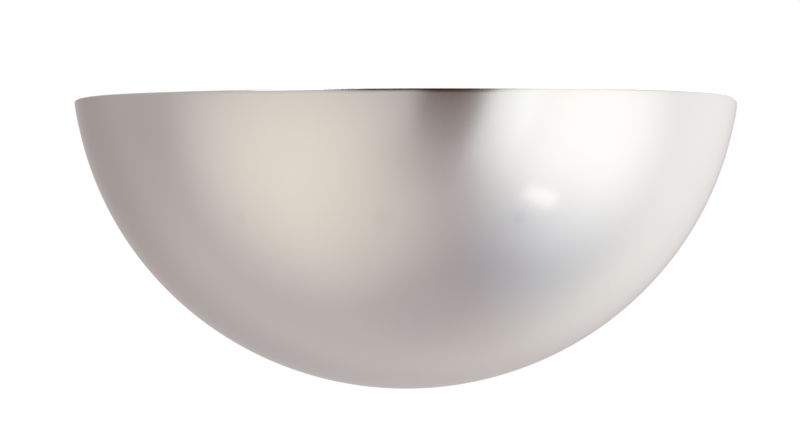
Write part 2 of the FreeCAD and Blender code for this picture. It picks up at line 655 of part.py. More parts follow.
sk = new_sketch(holder, "fixing_holes", "YZ_Plane")
for s in ("", "-"):
    circle(sk, "0", s + "holder_screw_half", "1.55")
pocket(holder, sk, "9", back=True, name="FixingHoles")
round_edges(holder, 0.8, lambda e: e.Length > 100 and abs(e.BoundBox.Center.x - val("holder_long")) < 0.01 and e.BoundBox.YLength > 37, name="LipRound")
put(holder, ARM_X, LAMP_Y, "0")

shell = new_body("lampholder_screw_shell")
sk = new_sketch(shell, "screw_shell_profile", "XY_Plane")
polygon(sk, [
    ("holder_cavity_floor", "9"), ("holder_cavity_floor", "shell_rad"), ("holder_cavity_floor + shell_long", "shell_rad"),
    ("holder_cavity_floor + shell_long", "shell_bore_rad"), ("holder_cavity_floor + 0.5", "shell_bore_rad"), ("holder_cavity_floor + 0.5", "9"),
])
turn(shell, sk, "H_Axis")
put(shell, ARM_X, LAMP_Y, "0")

contact = new_body("lampholder_centre_contact")
sk = new_sketch(contact, "contact_leaf", "XZ_Plane")
# a sprung tongue: flat at its root, raised to the lamp's contact
polygon(sk, [
    ("holder_cavity_floor", "-7.5"), ("holder_cavity_floor + 0.4", "-7.5"), ("holder_cavity_floor + 0.4", "-4.5"), ("lamp_seat", "-1.5"),
    ("lamp_seat", "2"), ("lamp_seat - 0.4", "2"), ("lamp_seat - 0.4", "-1.3"), ("holder_cavity_floor", "-4.3"),
])
pad(contact, sk, "5", middle=True)
put(contact, ARM_X, LAMP_Y, "0")

terminals, terminal_screws = [], []
for n, s, along in (("front", "-", "+Y"), ("rear", "+", "-Y")):
    low = "-lamp_out - 17" if n == "front" else "-lamp_out + 11.2"
    b = block("terminal_" + n, "6.6", "5.8", "9.2", "-arm_at + 3.7", low, "-4.6")
    face = "-lamp_out %s 17" % s
    hole = rod("terminal_tap_" + n, "1.45", "5", "-arm_at + 7", face, "0", along)
    wire_bore = rod("terminal_bore_" + n, "core_rad + 0.05", "3.2", "-arm_at + 7", "-lamp_out %s 13.5" % s, "-4.6")
    terminals.append(less("terminal_cut_" + n, b, hole, wire_bore))
    terminal_screws.append(screw("terminal_screw_" + n, "-arm_at + 7", face, "0", along, "1.4", "4.5", "2.3", "1.4"))
group("lampholder_terminals", *terminals)
group("lampholder_terminal_screws", *terminal_screws)
group("lampholder_fixing_screws", *[
    screw("holder_screw_" + n, "-arm_at - arm_gauge", LAMP_Y, s + "holder_screw_half", "+X", "1.5", "9", "2.75", "2")
    for n, s in (("upper", ""), ("lower", "-"))
])

# ================================================================ lamp: E27 cap, clear A60 envelope, stem and filaments
SEAT_X = "-arm_at + lamp_seat"
c = rod("lamp_contact", "4.8", "1.4", SEAT_X, LAMP_Y, "0", "+X")
insulator = doc.addObject("Part::Cone", "lamp_insulator")
insulator.Radius1, insulator.Radius2, insulator.Height = 5.2, 11.2, 2.8
put(insulator, "-arm_at + lamp_seat + 1.4", LAMP_Y, "0", TO["+X"])

cap = new_body("lamp_cap")
sk = new_sketch(cap, "cap_profile", "XY_Plane")
polygon(sk, [
    ("4.2", "8"), ("4.2", "11.4"), ("6.2", "cap_rad"), ("24", "cap_rad"), ("24.6", "cap_rad + 0.35"), ("27", "cap_rad + 0.35"),
    ("27", "cap_rad - cap_wall"), ("6.4", "cap_rad - cap_wall"), ("4.6", "11.2"), ("4.6", "8"),
])
turn(cap, sk, "H_Axis")
put(cap, SEAT_X, LAMP_Y, "0")

glass = new_body("lamp_glass")
sk = new_sketch(glass, "envelope", "XY_Plane")
R, s0, sc, r0, F, wall = (val(k) for k in ("bulb_rad", "flute_start", "bulb_centre", "neck_rad", "flute_rad", "glass_wall"))


def envelope_arcs(inset):
    """Neck line, concave arc and bulb arc of the envelope, set in by the wall. Returns the three geometries."""
    rb, rf, rn = R - inset, F + inset, r0 - inset
    fc, bc = Vector(s0, r0 + F, 0), Vector(sc, 0, 0)
    d = (fc - bc).normalize()
    touch = bc + d * rb
    neck = sk.addGeometry(Part.LineSegment(Vector(23, rn, 0), Vector(s0, rn, 0)), False)
    a0 = math.atan2(touch.y - fc.y, touch.x - fc.x)
    flute = sk.addGeometry(Part.ArcOfCircle(Part.Circle(fc, Vector(0, 0, 1), rf), -math.pi / 2, a0), False)
    a1 = math.atan2(touch.y, touch.x - bc.x)
    ball = sk.addGeometry(Part.ArcOfCircle(Part.Circle(bc, Vector(0, 0, 1), rb), 0, a1), False)
    return neck, flute, ball


outer_set = envelope_arcs(0)
inner_set = envelope_arcs(wall)
for (neck, flute, ball), inset in ((outer_set, "0"), (inner_set, "glass_wall")):
    sk.addConstraint(Sketcher.Constraint("Tangent", neck, 2, flute, 1))
    sk.addConstraint(Sketcher.Constraint("Tangent", flute, 2, ball, 2))
    sk.addConstraint(Sketcher.Constraint("PointOnObject", ball, 1, -1))
    pin(sk, neck, 1, "23", "neck_rad - %s" % inset)
    pin(sk, ball, 3, "bulb_centre", "0")
    c = sk.addConstraint(Sketcher.Constraint("Radius", ball, val("bulb_rad - %s" % inset)))
    sk.setExpression("Constraints[%d]" % c, bound("bulb_rad - %s" % inset))
    c = sk.addConstraint(Sketcher.Constraint("Radius", flute, val("flute_rad + %s" % inset)))
    sk.setExpression("Constraints[%d]" % c, bound("flute_rad + %s" % inset))
    sk.addConstraint(Sketcher.Constraint("Horizontal", neck))
mouth = sk.addGeometry(Part.LineSegment(sk.getPoint(outer_set[0], 1), sk.getPoint(inner_set[0], 1)), False)
sk.addConstraint(Sketcher.Constraint("Coincident", mouth, 1, outer_set[0], 1))
sk.addConstraint(Sketcher.Constraint("Coincident", mouth, 2, inner_set[0], 1))
tip = sk.addGeometry(Part.LineSegment(sk.getPoint(outer_set[2], 1), sk.getPoint(inner_set[2], 1)), False)
sk.addConstraint(Sketcher.Constraint("Coincident", tip, 1, outer_set[2], 1))
sk.addConstraint(Sketcher.Constraint("Coincident", tip, 2, inner_set[2], 1))
turn(glass, sk, "H_Axis")
put(glass, SEAT_X, LAMP_Y, "0")

stem = new_body("lamp_stem")
sk = new_sketch(stem, "stem_profile", "XY_Plane")
polygon(sk, [("23", "0"), ("23", "neck_rad - glass_wall - 0.1"), ("24.2", "neck_rad - glass_wall - 0.1"), ("28", "7"), ("34", "4.6"), ("44", "4"), ("46", "2"), ("83", "1.6"), ("85", "2.4"), ("87", "1.6"), ("87.5", "0")])
turn(stem, sk, "H_Axis")
put(stem, SEAT_X, LAMP_Y, "0")

# Four filament strips lean round the glass rod; short wires carry both ends of each.
strips, wires_in_lamp = [], []
base = Vector(val(SEAT_X), val(LAMP_Y), 0)
for i in range(4):
    a, twist = math.radians(45 + 90 * i), math.radians(34)
    p = base + Vector(47, 9.5 * math.cos(a), 9.5 * math.sin(a))
    q = base + Vector(83, 9.5 * math.cos(a + twist), 9.5 * math.sin(a + twist))
    d = q - p
    strip = doc.addObject("Part::Cylinder", "filament_%d" % i)
    strip.Radius, strip.Height = 0.9, d.Length
    strip.Placement = Placement(p, Rotation(Vector(0, 0, 1), d))
    strips.append(strip)
    for j, (centre, end) in enumerate(((base + Vector(41.5, 4.7 * math.cos(a), 4.7 * math.sin(a)), p), (base + Vector(82, 1.5 * math.cos(a + twist), 1.5 * math.sin(a + twist)), q + Vector(0.4, 0, 0)))):
        d = end - centre
        if j == 0:
            centre, d = centre + d * 0.06, d * 0.88
        else:
            centre, d = centre + d * 0.12, d * 0.76
        w = doc.addObject("Part::Cylinder", "lead_%d_%d" % (i, j))
        w.Radius, w.Height = 0.3, d.Length
        w.Placement = Placement(centre, Rotation(Vector(0, 0, 1), d))
        wires_in_lamp.append(w)
group("lamp_filaments", *strips)
group("lamp_support_wires", *wires_in_lamp)

# ================================================================ terminal block on the wall side of the panel
tb = new_body("terminal_block_body")
sk = new_sketch(tb, "block_outline", "XZ_Plane")
polygon(sk, [("-block_half_long", "-block_half_tall"), ("block_half_long", "-block_half_tall"), ("block_half_long", "block_half_tall"), ("-block_half_long", "block_half_tall")])
pad(tb, sk, "block_deep", back=True)
sk = new_sketch(tb, "terminal_ways", "XY_Plane")
for x in ("-pole_pitch", "0", "pole_pitch"):
    circle(sk, x, "tube_out", "tube_rad + 0.1")
pocket(tb, sk, "40", middle=True, name="Ways")
sk = new_sketch(tb, "screw_ways", "XZ_Plane", "-tube_out")
for x in ("-pole_pitch", "0", "pole_pitch"):
    for z in ("-4", "4"):
        circle(sk, x, z, "1.9")
pocket(tb, sk, "10", name="ScrewWays")
sk = new_sketch(tb, "fixing_ways", "XZ_Plane")
for x in ("-pole_pitch / 2", "pole_pitch / 2"):
    circle(sk, x, "0", "1.6")
pocket(tb, sk, "60", middle=True, name="FixingWays")
sk = new_sketch(tb, "notches", "XZ_Plane", "-block_deep")
for x in ("-pole_pitch / 2", "pole_pitch / 2"):
    for z0, z1 in (("3", "block_half_tall + 1"), ("-block_half_tall - 1", "-3")):
        polygon(sk, [("%s - 1" % x, z0), ("%s + 1" % x, z0), ("%s + 1" % x, z1), ("%s - 1" % x, z1)])
pocket(tb, sk, "7", name="Notches", back=True)
sk = new_sketch(tb, "head_ways", "XZ_Plane", "-9")
for x in ("-pole_pitch / 2", "pole_pitch / 2"):
    circle(sk, x, "0", "2.95")
pocket(tb, sk, "10", name="HeadWays")
put(tb, "0", "-panel_back", "-block_down")

tubes, tube_screws = [], []
for i, x in enumerate(("-pole_pitch", "0", "pole_pitch")):
    y = "-panel_back + tube_out"
    t = rod("tube_%d" % i, "tube_rad", "tube_long", x, y, "-block_down - tube_long / 2")
    # a wire hole from each end, with a web between them
    cuts = [
        rod("tube_bore_low_%d" % i, "tube_bore_rad", "tube_long / 2 - 0.5", x, y, "-block_down - tube_long / 2"),
        rod("tube_bore_high_%d" % i, "tube_bore_rad", "tube_long / 2 - 0.5", x, y, "-block_down + 0.5"),
    ]
    for k, z in enumerate(("4", "-4")):
        cuts.append(rod("tube_tap_%d_%d" % (i, k), "1.35", "4", x, y, "-block_down + %s" % z, "+Y"))
        # the lower screw is down on its wire, the upper one is backed off for the supply
        tip = y + (" + 0.9" if k else " + 1.8")
        tube_screws.append(less(
            "tube_screw_%d_%d" % (i, k),
            rod("tube_screw_rod_%d_%d" % (i, k), "1.3", "4.4", x, tip, "-block_down + %s" % z, "+Y"),
            block("tube_screw_slot_%d_%d" % (i, k), "3", "1.6", "0.5", x + " - 1.5", tip + " + 3.4", "-block_down + %s - 0.25" % z),
        ))
    tubes.append(less("tube_cut_%d" % i, t, *cuts))
group("terminal_block_tubes", *tubes)
group("terminal_block_screws", *tube_screws)
group("terminal_block_fixings", *[
    screw("block_fixing_%d" % i, x, "-panel_back + 9", "-block_down", "-Y", "1.5", "12.5", "2.75", "2")
    for i, x in enumerate(("-pole_pitch / 2", "pole_pitch / 2"))
])

# ================================================================ grommet and earth point
grommet = new_body("wire_grommet")
sk = new_sketch(grommet, "grommet_profile", "YZ_Plane")
polygon(sk, [
    ("1.9", "grommet_bore_rad + 0.5"), ("1.9", "grommet_hole_rad + 1.3"), ("1.4", "grommet_hole_rad + 2"), ("0.05", "grommet_hole_rad + 2"), ("0.05", "grommet_hole_rad - 0.1"),
    ("-panel_gauge - 0.05", "grommet_hole_rad - 0.1"), ("-panel_gauge - 0.05", "grommet_hole_rad + 2"), ("-panel_gauge - 1.4", "grommet_hole_rad + 2"),
    ("-panel_gauge - 1.9", "grommet_hole_rad + 1.3"), ("-panel_gauge - 1.9", "grommet_bore_rad + 0.5"), ("-panel_gauge - 1.4", "grommet_bore_rad"), ("1.4", "grommet_bore_rad"),
])
turn(grommet, sk, "H_Axis")
put(grommet, "-grommet_at", "-panel_back", "-grommet_down")

earth_screw = screw("earth_screw", "earth_at", "-panel_back - panel_gauge", "-earth_down", "+Y", "stud_rad", "9.5", "pan_head_rad", "pan_head_tall")
earth_washer = ring("earth_washer", "earth_at", "-panel_back + 0.8", "-earth_down", "+Y", "3.9", "washer_hole_rad", "0.7")
earth_nut = hex_nut("earth_nut", "earth_at", "-panel_back + 1.5", "-earth_down", "+Y", "nut_flats", "nut_tall", "stud_rad + 0.05")
tag_ring = ring("tag_ring", "earth_at", "-panel_back", "-earth_down", "+Y", "4.1", "washer_hole_rad", "0.8")
tag_neck = block("tag_neck", "3.2", "0.8", "3.6", "earth_at - 1.6", "-panel_back", "-earth_down - 7")
tag_barrel = rod("tag_barrel", "1.7", "5.5", "earth_at", "-panel_back + 1.7", "-earth_down - 12", "+Z")
tag_bore = rod("tag_bore", "0.75", "5.5", "earth_at", "-panel_back + 1.7", "-earth_down - 12", "+Z")
tag_body = fused("tag_body", tag_ring, tag_neck, tag_barrel)
earth_tag = less("earth_tag", tag_body, tag_bore)

# ================================================================ wiring: straight runs joined by tangent arcs
def wire_path(points, share=0.45):
    """A wire of straight runs and arcs through the points, and the arcs' radii."""
    pts = [Vector(*p) for p in points]
    made, radii, at = [], [], pts[0]
    for i in range(1, len(pts) - 1):
        a, b = (pts[i] - pts[i - 1]), (pts[i + 1] - pts[i])
        turn_angle = a.getAngle(b)
        t = share * min(a.Length, b.Length)
        radii.append(t / math.tan(turn_angle / 2))
        u, w = Vector(a).normalize(), Vector(b).normalize()
        start, stop = pts[i] - u * t, pts[i] + w * t
        half = (start + stop) * 0.5
        centre = pts[i] + (half - pts[i]).normalize() * (radii[-1] / math.cos(turn_angle / 2))
        mid = centre + (pts[i] - centre).normalize() * radii[-1]
        made.append(Part.LineSegment(at, start).toShape())
        made.append(Part.Arc(start, mid, stop).toShape())
        at = stop
    made.append(Part.LineSegment(at, pts[-1]).toShape())
    return Part.Wire(made), radii


def tube_along(label, points, radius):
    path, radii = wire_path(points)
    first = (Vector(*points[1]) - Vector(*points[0])).normalize()
    ring_ = Part.Wire([Part.Circle(Vector(*points[0]), first, radius).toShape()])
    solid = path.makePipeShell([ring_], True, False, 2)
    if solid.Volume < 0:
        solid.reverse()
    expected = math.pi * radius ** 2 * path.Length
    print("%s: length %.1f mm, tightest bend %.1f mm, volume %.4f of section x length" % (label, path.Length, min(radii), solid.Volume / expected))
    if abs(solid.Volume / expected - 1) > 0.01:
        raise RuntimeError(label + " has a wrong volume")
    f = doc.addObject("Part::Feature", label)
    f.Shape = solid
    f.Label = label
    return f


YB = val("-panel_back + tube_out")            # terminal axis
ZT = val("-block_down - tube_long / 2")       # foot of the brass tubes
HX = val("-arm_at + 7")                       # wire holes of the lampholder
HF, HR = val("-lamp_out - 13.5"), val("-lamp_out + 13.5")
GX, GZ = val("-grommet_at"), val("-grommet_down")
PP = val("pole_pitch")
EX, EZ = val("earth_at"), val("-earth_down")
WR = val("wire_rad")
live_points = [
    (-PP, YB, ZT - 0.6), (-PP, YB, ZT - 8), (-PP - 10, YB + 1.0, ZT - 14.5), (-PP - 26, YB + 0.6, ZT - 13), (GX + 4, YB + 1.2, GZ - 11), (GX + 1.5, YB + 1, GZ + 1.2),
    (GX + 1.5, YB - 14, GZ + 1.2), (GX - 1.5, YB - 28, GZ + 2.5), (HX - 1, YB - 47, GZ - 1), (HX, HF, GZ + 6), (HX, HF, -4.9),
]
neutral_points = [
    (0, YB, ZT - 0.6), (0, YB, ZT - 9), (-7, YB - 2.2, ZT - 18), (-PP - 17, YB - 2.3, ZT - 19), (GX + 8, YB - 2, GZ - 21), (GX - 1.6, YB - 1, GZ - 12), (GX - 1.6, YB, GZ - 1.2),
    (GX - 1.6, YB - 13, GZ - 1.2), (GX - 5, YB - 24, GZ - 0.5), (HX, HR - 3, GZ + 3), (HX, HR, GZ + 12), (HX, HR, -4.9),
]
earth_points = [
    (PP, YB, ZT - 0.6), (PP, YB, ZT - 8), (PP + 7, YB + 1.5, ZT - 15), (PP + 20, YB + 1, ZT - 17), (EX - 3, YB - 2, EZ - 26), (EX, val("-panel_back + 1.7"), EZ - 19), (EX, val("-panel_back + 1.7"), EZ - 12.1),
]
tube_along("live_wire", live_points, WR)
tube_along("neutral_wire", neutral_points, WR)
tube_along("earth_wire", earth_points, WR)
ends = []
for i, (x, y, z, along, long_) in enumerate((
    (-PP, YB, ZT - 0.6, "+Z", 6), (0, YB, ZT - 0.6, "+Z", 6), (PP, YB, ZT - 0.6, "+Z", 6), (EX, val("-panel_back + 1.7"), EZ - 12.1, "+Z", 4.5),
    (HX, HF, -4.9, "+Z", 3.2), (HX, HR, -4.9, "+Z", 3.2),
)):
    core = doc.addObject("Part::Cylinder", "core_%d" % i)
    bind(core, "Radius", "core_rad")
    core.Height = long_
    core.Placement = Placement(Vector(x, y, z), TO[along])
    ends.append(core)
group("bare_conductor_ends", *ends)

# ================================================================ check and write
doc.recompute()
NODES = [
    "wall_bracket", "cable_bush", "mounting_studs", "stud_lock_nuts", "bracket_earth_screw", "bracket_earth_washer",
    "bowl_shell", "rear_frame", "back_panel", "panel_screws",
    "nut_washer_left", "nut_washer_right", "thumb_nut_left", "thumb_nut_right",
    "lamp_bracket", "lamp_bracket_screws", "lamp_bracket_nuts",
    "lampholder_body", "lampholder_screw_shell", "lampholder_centre_contact", "lampholder_terminals", "lampholder_terminal_screws", "lampholder_fixing_screws",
    "lamp_contact", "lamp_insulator", "lamp_cap", "lamp_glass", "lamp_stem", "lamp_filaments", "lamp_support_wires",
    "terminal_block_body", "terminal_block_tubes", "terminal_block_screws", "terminal_block_fixings",
    "wire_grommet", "earth_screw", "earth_washer", "earth_nut", "earth_tag",
    "live_wire", "neutral_wire", "earth_wire", "bare_conductor_ends",
]
bad = [(o.Label, o.State) for o in doc.Objects if "Invalid" in o.State or "Error" in o.State]
if bad:
    raise RuntimeError("failed objects: %s" % bad)
by_label = {o.Label: o for o in doc.Objects}
found = {}
for node in NODES:
    shape = by_label[node].Shape
    if shape.isNull() or not shape.isValid() or not shape.Solids or min(s.Volume for s in shape.Solids) <= 0:
        raise RuntimeError("bad shape: " + node)
    found[node] = shape
os.makedirs("parts", exist_ok=True)
for old in os.listdir("parts"):
    if old.endswith(".step") and old[:-5] not in found:
        os.remove(os.path.join("parts", old))
for node, shape in found.items():
    out = shape if len(shape.Solids) > 1 else shape.Solids[0]
    out.exportStep(os.path.join("parts", node + ".step"))
    b = shape.BoundBox
    print("%-28s solids %d  vol %9.1f  x %.1f..%.1f  y %.1f..%.1f  z %.1f..%.1f" % (node, len(shape.Solids), shape.Volume, b.XMin, b.XMax, b.YMin, b.YMax, b.ZMin, b.ZMax))
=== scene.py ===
"""Looks of the half-bowl wall uplighter: satin metal bowl, white panel, clear lamp in a ceramic holder, wall strap."""
import json
import math

import bmesh
import bpy
from mathutils import Matrix, Vector

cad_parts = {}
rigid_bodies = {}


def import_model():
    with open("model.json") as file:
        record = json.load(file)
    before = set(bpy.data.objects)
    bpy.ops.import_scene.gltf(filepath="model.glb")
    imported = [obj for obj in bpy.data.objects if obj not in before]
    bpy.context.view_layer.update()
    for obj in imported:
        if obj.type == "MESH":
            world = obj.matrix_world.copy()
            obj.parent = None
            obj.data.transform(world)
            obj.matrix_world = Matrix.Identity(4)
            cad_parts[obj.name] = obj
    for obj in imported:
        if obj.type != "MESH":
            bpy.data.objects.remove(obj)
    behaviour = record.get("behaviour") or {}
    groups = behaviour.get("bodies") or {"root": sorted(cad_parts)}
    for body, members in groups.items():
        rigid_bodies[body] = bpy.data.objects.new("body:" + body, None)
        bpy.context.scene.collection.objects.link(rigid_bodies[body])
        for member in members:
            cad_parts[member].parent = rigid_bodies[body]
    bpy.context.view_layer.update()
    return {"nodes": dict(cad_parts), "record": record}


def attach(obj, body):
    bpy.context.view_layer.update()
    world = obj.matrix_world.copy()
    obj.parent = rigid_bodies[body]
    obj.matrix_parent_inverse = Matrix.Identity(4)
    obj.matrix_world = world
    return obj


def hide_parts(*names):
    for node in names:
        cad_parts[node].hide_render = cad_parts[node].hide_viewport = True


for o in list(bpy.data.objects):
    bpy.data.objects.remove(o)
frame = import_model()
NODES, RECORD = frame["nodes"], frame["record"]
MM = 0.001
TAU = 2 * math.pi


# ------------------------------------------------------------------ materials
def rgb(r, g, b):
    return (r, g, b, 1.0)


class Mat:
    """A Principled material with a few helpers for procedural detail in the row frame's metres."""

    def __init__(self, name):
        self.m = bpy.data.materials.new(name)
        self.m.use_nodes = True
        self.nt = self.m.node_tree
        self.p = self.nt.nodes["Principled BSDF"]
        self.where = self.nt.nodes.new("ShaderNodeTexCoord").outputs["Object"]

    def node(self, kind, **settings):
        n = self.nt.nodes.new(kind)
        for k, v in settings.items():
            setattr(n, k, v)
        return n

    def join(self, a, b):
        self.nt.links.new(a, b)

    def set(self, **sockets):
        for k, v in sockets.items():
            self.p.inputs[k.replace("_", " ")].default_value = v
        return self

    def stretched(self, scale):
        m = self.node("ShaderNodeMapping")
        m.inputs["Scale"].default_value = scale
        self.join(self.where, m.inputs["Vector"])
        return m.outputs["Vector"]

    def noise(self, scale, detail=3.0, rough=0.5, where=None, distortion=0.0):
        n = self.node("ShaderNodeTexNoise")
        n.inputs["Scale"].default_value = scale
        n.inputs["Detail"].default_value = detail
        n.inputs["Roughness"].default_value = rough
        n.inputs["Distortion"].default_value = distortion
        self.join(where or self.where, n.inputs["Vector"])
        return n.outputs["Fac"]

    def cells(self, scale, where=None, feature="F1"):
        n = self.node("ShaderNodeTexVoronoi", feature=feature)
        n.inputs["Scale"].default_value = scale
        self.join(where or self.where, n.inputs["Vector"])
        return n.outputs["Distance"]

    def span(self, value, a, b, c, d, smooth=False):
        """value from a..b carried to c..d."""
        n = self.node("ShaderNodeMapRange")
        if smooth:
            n.interpolation_type = "SMOOTHSTEP"
        for k, x in zip(("From Min", "From Max", "To Min", "To Max"), (a, b, c, d)):
            n.inputs[k].default_value = x
        self.join(value, n.inputs["Value"])
        return n.outputs["Result"]

    def math(self, op, a, b=None, c=None):
        n = self.node("ShaderNodeMath", operation=op)
        for i, x in enumerate((a, b, c)):
            if x is None:
                continue
            if isinstance(x, (int, float)):
                n.inputs[i].default_value = x
            else:
                self.join(x, n.inputs[i])
        return n.outputs[0]

    def mix(self, fac, a, b):
        n = self.node("ShaderNodeMix", data_type="RGBA")
        self.join(fac, n.inputs["Factor"])
        for s, x in (("A", a), ("B", b)):
            s = next(i for i in n.inputs if i.name == s and i.type == "RGBA")
            if isinstance(x, tuple):
                s.default_value = x
            else:
                self.join(x, s)
        return next(o for o in n.outputs if o.type == "RGBA")

    def colour(self, out):
        self.join(out, self.p.inputs["Base Color"])
        return self

    def rough(self, out):
        self.join(out, self.p.inputs["Roughness"])
        return self

    def bump(self, *layers):
        """layers of (height output, strength, distance in metres), one on the other."""
        last = None
        for height, strength, distance in layers:
            b = self.node("ShaderNodeBump")
            b.inputs["Strength"].default_value = strength
            b.inputs["Distance"].default_value = distance
            self.join(height, b.inputs["Height"])
            if last:
                self.join(last, b.inputs["Normal"])
            last = b.outputs["Normal"]
        self.join(last, self.p.inputs["Normal"])
        return self

    def worn(self, base, light, amount=0.5, radius_noise=600):
        """Edges of the mesh a little lighter, broken up by noise."""
        g = self.node("ShaderNodeNewGeometry").outputs["Pointiness"]
        edge = self.span(g, 0.52, 0.60, 0, 1, True)
        return self.mix(self.math("MULTIPLY", self.math("MULTIPLY", edge, self.noise(radius_noise)), amount), base, light)


def satin_nickel():
    """Plated and lacquered: a soft metal under a thin clear coat. Small discs of set tint at set places are painted
    reflections of studio gear, light, dark and bluish. Three tiny near-white spots sit by the rim.
    """
    m = Mat("satin_nickel")
    m.set(Metallic=1.0, IOR=1.5, Coat_Weight=1.0, Coat_Roughness=0.05, Coat_IOR=1.925)
    m.set(Specular_Tint=rgb(1, 1, 1))
    tone = m.mix(m.span(m.noise(9, 2), 0.35, 0.65, 0, 1, True), rgb(0.705, 0.680, 0.660), rgb(0.695, 0.672, 0.652))
    # painted reflections: each of the larger discs lightens or darkens the colour where the bowl reflects a piece of
    # studio gear; the last three are tiny near-white spots by the rim
    for at, radius, tint, amount in (
        ((0.0504, -0.1231, -0.0090), 0.0042, (0.54, 0.55, 0.59), 0.30),
        ((0.0478, -0.1243, -0.0078), 0.0030, (0.55, 0.56, 0.60), 0.16),
        ((-0.0675, -0.1151, -0.0082), 0.0040, (0.50, 0.50, 0.50), 0.16),
        ((-0.0068, -0.1329, -0.0088), 0.0048, (0.52, 0.50, 0.50), 0.16),
        ((-0.0665, -0.0989, -0.0299), 0.0040, (0.85, 0.82, 0.80), 0.14),
        ((-0.0509, -0.1043, -0.0337), 0.0038, (0.85, 0.82, 0.80), 0.14),
        ((0.0168, -0.1483, 0.0389), 0.0006, (0.95, 0.94, 0.92), 0.35),
        ((0.0155, -0.1482, 0.0373), 0.0006, (0.95, 0.94, 0.92), 0.30),
        ((0.0181, -0.1481, 0.0367), 0.0007, (0.95, 0.94, 0.92), 0.30),
    ):
        away = m.node("ShaderNodeVectorMath", operation="DISTANCE")
        m.join(m.where, away.inputs[0])
        away.inputs[1].default_value = at
        # soft is this disc's painted-reflection mask (a tiny spot's mask for the last three), mixed into the colour
        # below
        soft = m.math("MULTIPLY", m.span(away.outputs["Value"], 0.25 * radius, 1.25 * radius, amount, 0.0, True), m.span(m.noise(330, 2), 0.3, 0.7, 0.55, 1.1))
        tone = m.mix(soft, tone, rgb(*tint))
    m.colour(tone)
    m.rough(m.math("ADD", m.span(m.noise(14, 3), 0.3, 0.7, 0.174, 0.186), m.span(m.noise(900, 2), 0.3, 0.7, -0.006, 0.006)))
    m.bump((m.noise(2600, 2, 0.6), 0.04, 0.00002), (m.noise(16, 1, 0.4), 0.06, 0.0004))
    return m.m


def white_paint():
    m = Mat("inside_white")
    m.set(Metallic=0.0, IOR=1.5, Coat_Weight=0.0)
    m.colour(m.mix(m.span(m.noise(22, 4), 0.35, 0.7, 0, 1), rgb(0.86, 0.855, 0.83), rgb(0.80, 0.79, 0.765)))
    m.rough(m.span(m.noise(60, 3), 0.3, 0.7, 0.42, 0.55))
    m.bump((m.noise(700, 2, 0.5), 0.35, 0.00008), (m.noise(60, 2), 0.15, 0.0003))
    return m.m


def plated(name, light, dark, rough_low, rough_high, grain=(1, 1, 1), spots=0.0):
    m = Mat(name)
    m.set(Metallic=1.0)
    along = m.stretched(grain)
    base = m.mix(m.span(m.noise(120, 4), 0.35, 0.68, 0, 1, True), rgb(*light), rgb(*dark))
    if spots:
        base = m.mix(m.span(m.cells(240), 0.0, 0.16, spots, 0.0, True), base, rgb(dark[0] * 0.55, dark[1] * 0.55, dark[2] * 0.56))
    m.colour(m.worn(base, rgb(min(1, light[0] * 1.15), min(1, light[1] * 1.15), min(1, light[2] * 1.15))))
    m.rough(m.math("ADD", m.span(m.noise(260, 3), 0.3, 0.7, rough_low, rough_high), m.span(m.noise(1500, 2, 0.5, along), 0.3, 0.7, -0.05, 0.05)))
    m.bump((m.noise(1500, 3, 0.6, along), 0.18, 0.00004))
    return m.m


def glazed():
    m = Mat("white_ceramic")
    m.set(IOR=1.52, Coat_Weight=0.6, Coat_Roughness=0.05, Subsurface_Weight=0.06, Subsurface_Scale=0.002)
    tone = m.mix(m.span(m.noise(70, 3), 0.35, 0.7, 0, 1), rgb(0.86, 0.845, 0.80), rgb(0.82, 0.80, 0.745))
    m.colour(m.mix(m.span(m.cells(520), 0.0, 0.055, 0.55, 0.0, True), tone, rgb(0.36, 0.29, 0.22)))
    m.rough(m.span(m.noise(150, 2), 0.3, 0.7, 0.10, 0.20))
    m.bump((m.noise(140, 2), 0.25, 0.0003))
    return m.m


def brass():
    m = Mat("holder_brass")
    m.set(Metallic=1.0)
    m.colour(m.worn(m.mix(m.span(m.noise(210, 4), 0.36, 0.66, 0, 1, True), rgb(0.80, 0.60, 0.28), rgb(0.60, 0.41, 0.17)), rgb(0.92, 0.76, 0.42)))
    m.rough(m.span(m.noise(320, 3), 0.3, 0.7, 0.18, 0.36))
    m.bump((m.noise(1800, 2), 0.12, 0.00003))
    return m.m


def clear_glass(name="clear_glass", tint=(0.985, 0.995, 1.0), rough=0.0, waves=0.04):
    m = Mat(name)
    m.set(Transmission_Weight=1.0, IOR=1.47, Roughness=rough, Base_Color=rgb(*tint))
    m.bump((m.noise(38, 2), waves, 0.0006))
    return m.m


def vitrite():
    m = Mat("black_glass")
    m.set(IOR=1.55, Coat_Weight=0.5, Coat_Roughness=0.04)
    m.colour(m.mix(m.span(m.noise(400, 3), 0.35, 0.65, 0, 1), rgb(0.018, 0.016, 0.024), rgb(0.035, 0.03, 0.045)))
    m.rough(m.span(m.noise(300, 2), 0.3, 0.7, 0.08, 0.22))
    m.bump((m.noise(500, 2), 0.2, 0.0001))
    return m.m


def phosphor():
    m = Mat("filament_yellow")
    m.set(IOR=1.43, Subsurface_Weight=0.35, Subsurface_Scale=0.0008)
    m.colour(m.mix(m.span(m.cells(2600), 0.1, 0.5, 0, 1, True), rgb(0.93, 0.62, 0.10), rgb(0.96, 0.72, 0.20)))
    m.rough(m.span(m.noise(1800, 2), 0.3, 0.7, 0.35, 0.55))
    m.bump((m.noise(2200, 2), 0.4, 0.00006))
    return m.m


def moulded(name, light, dark, rough_low, rough_high, texture=900, depth=0.25, coat=0.0):
    m = Mat(name)
    m.set(IOR=1.48, Coat_Weight=coat, Coat_Roughness=0.12)
    m.colour(m.mix(m.span(m.noise(130, 3), 0.35, 0.68, 0, 1, True), rgb(*light), rgb(*dark)))
    m.rough(m.span(m.noise(420, 3), 0.3, 0.7, rough_low, rough_high))
    m.bump((m.noise(texture, 2, 0.55), depth, 0.00006))
    return m.m


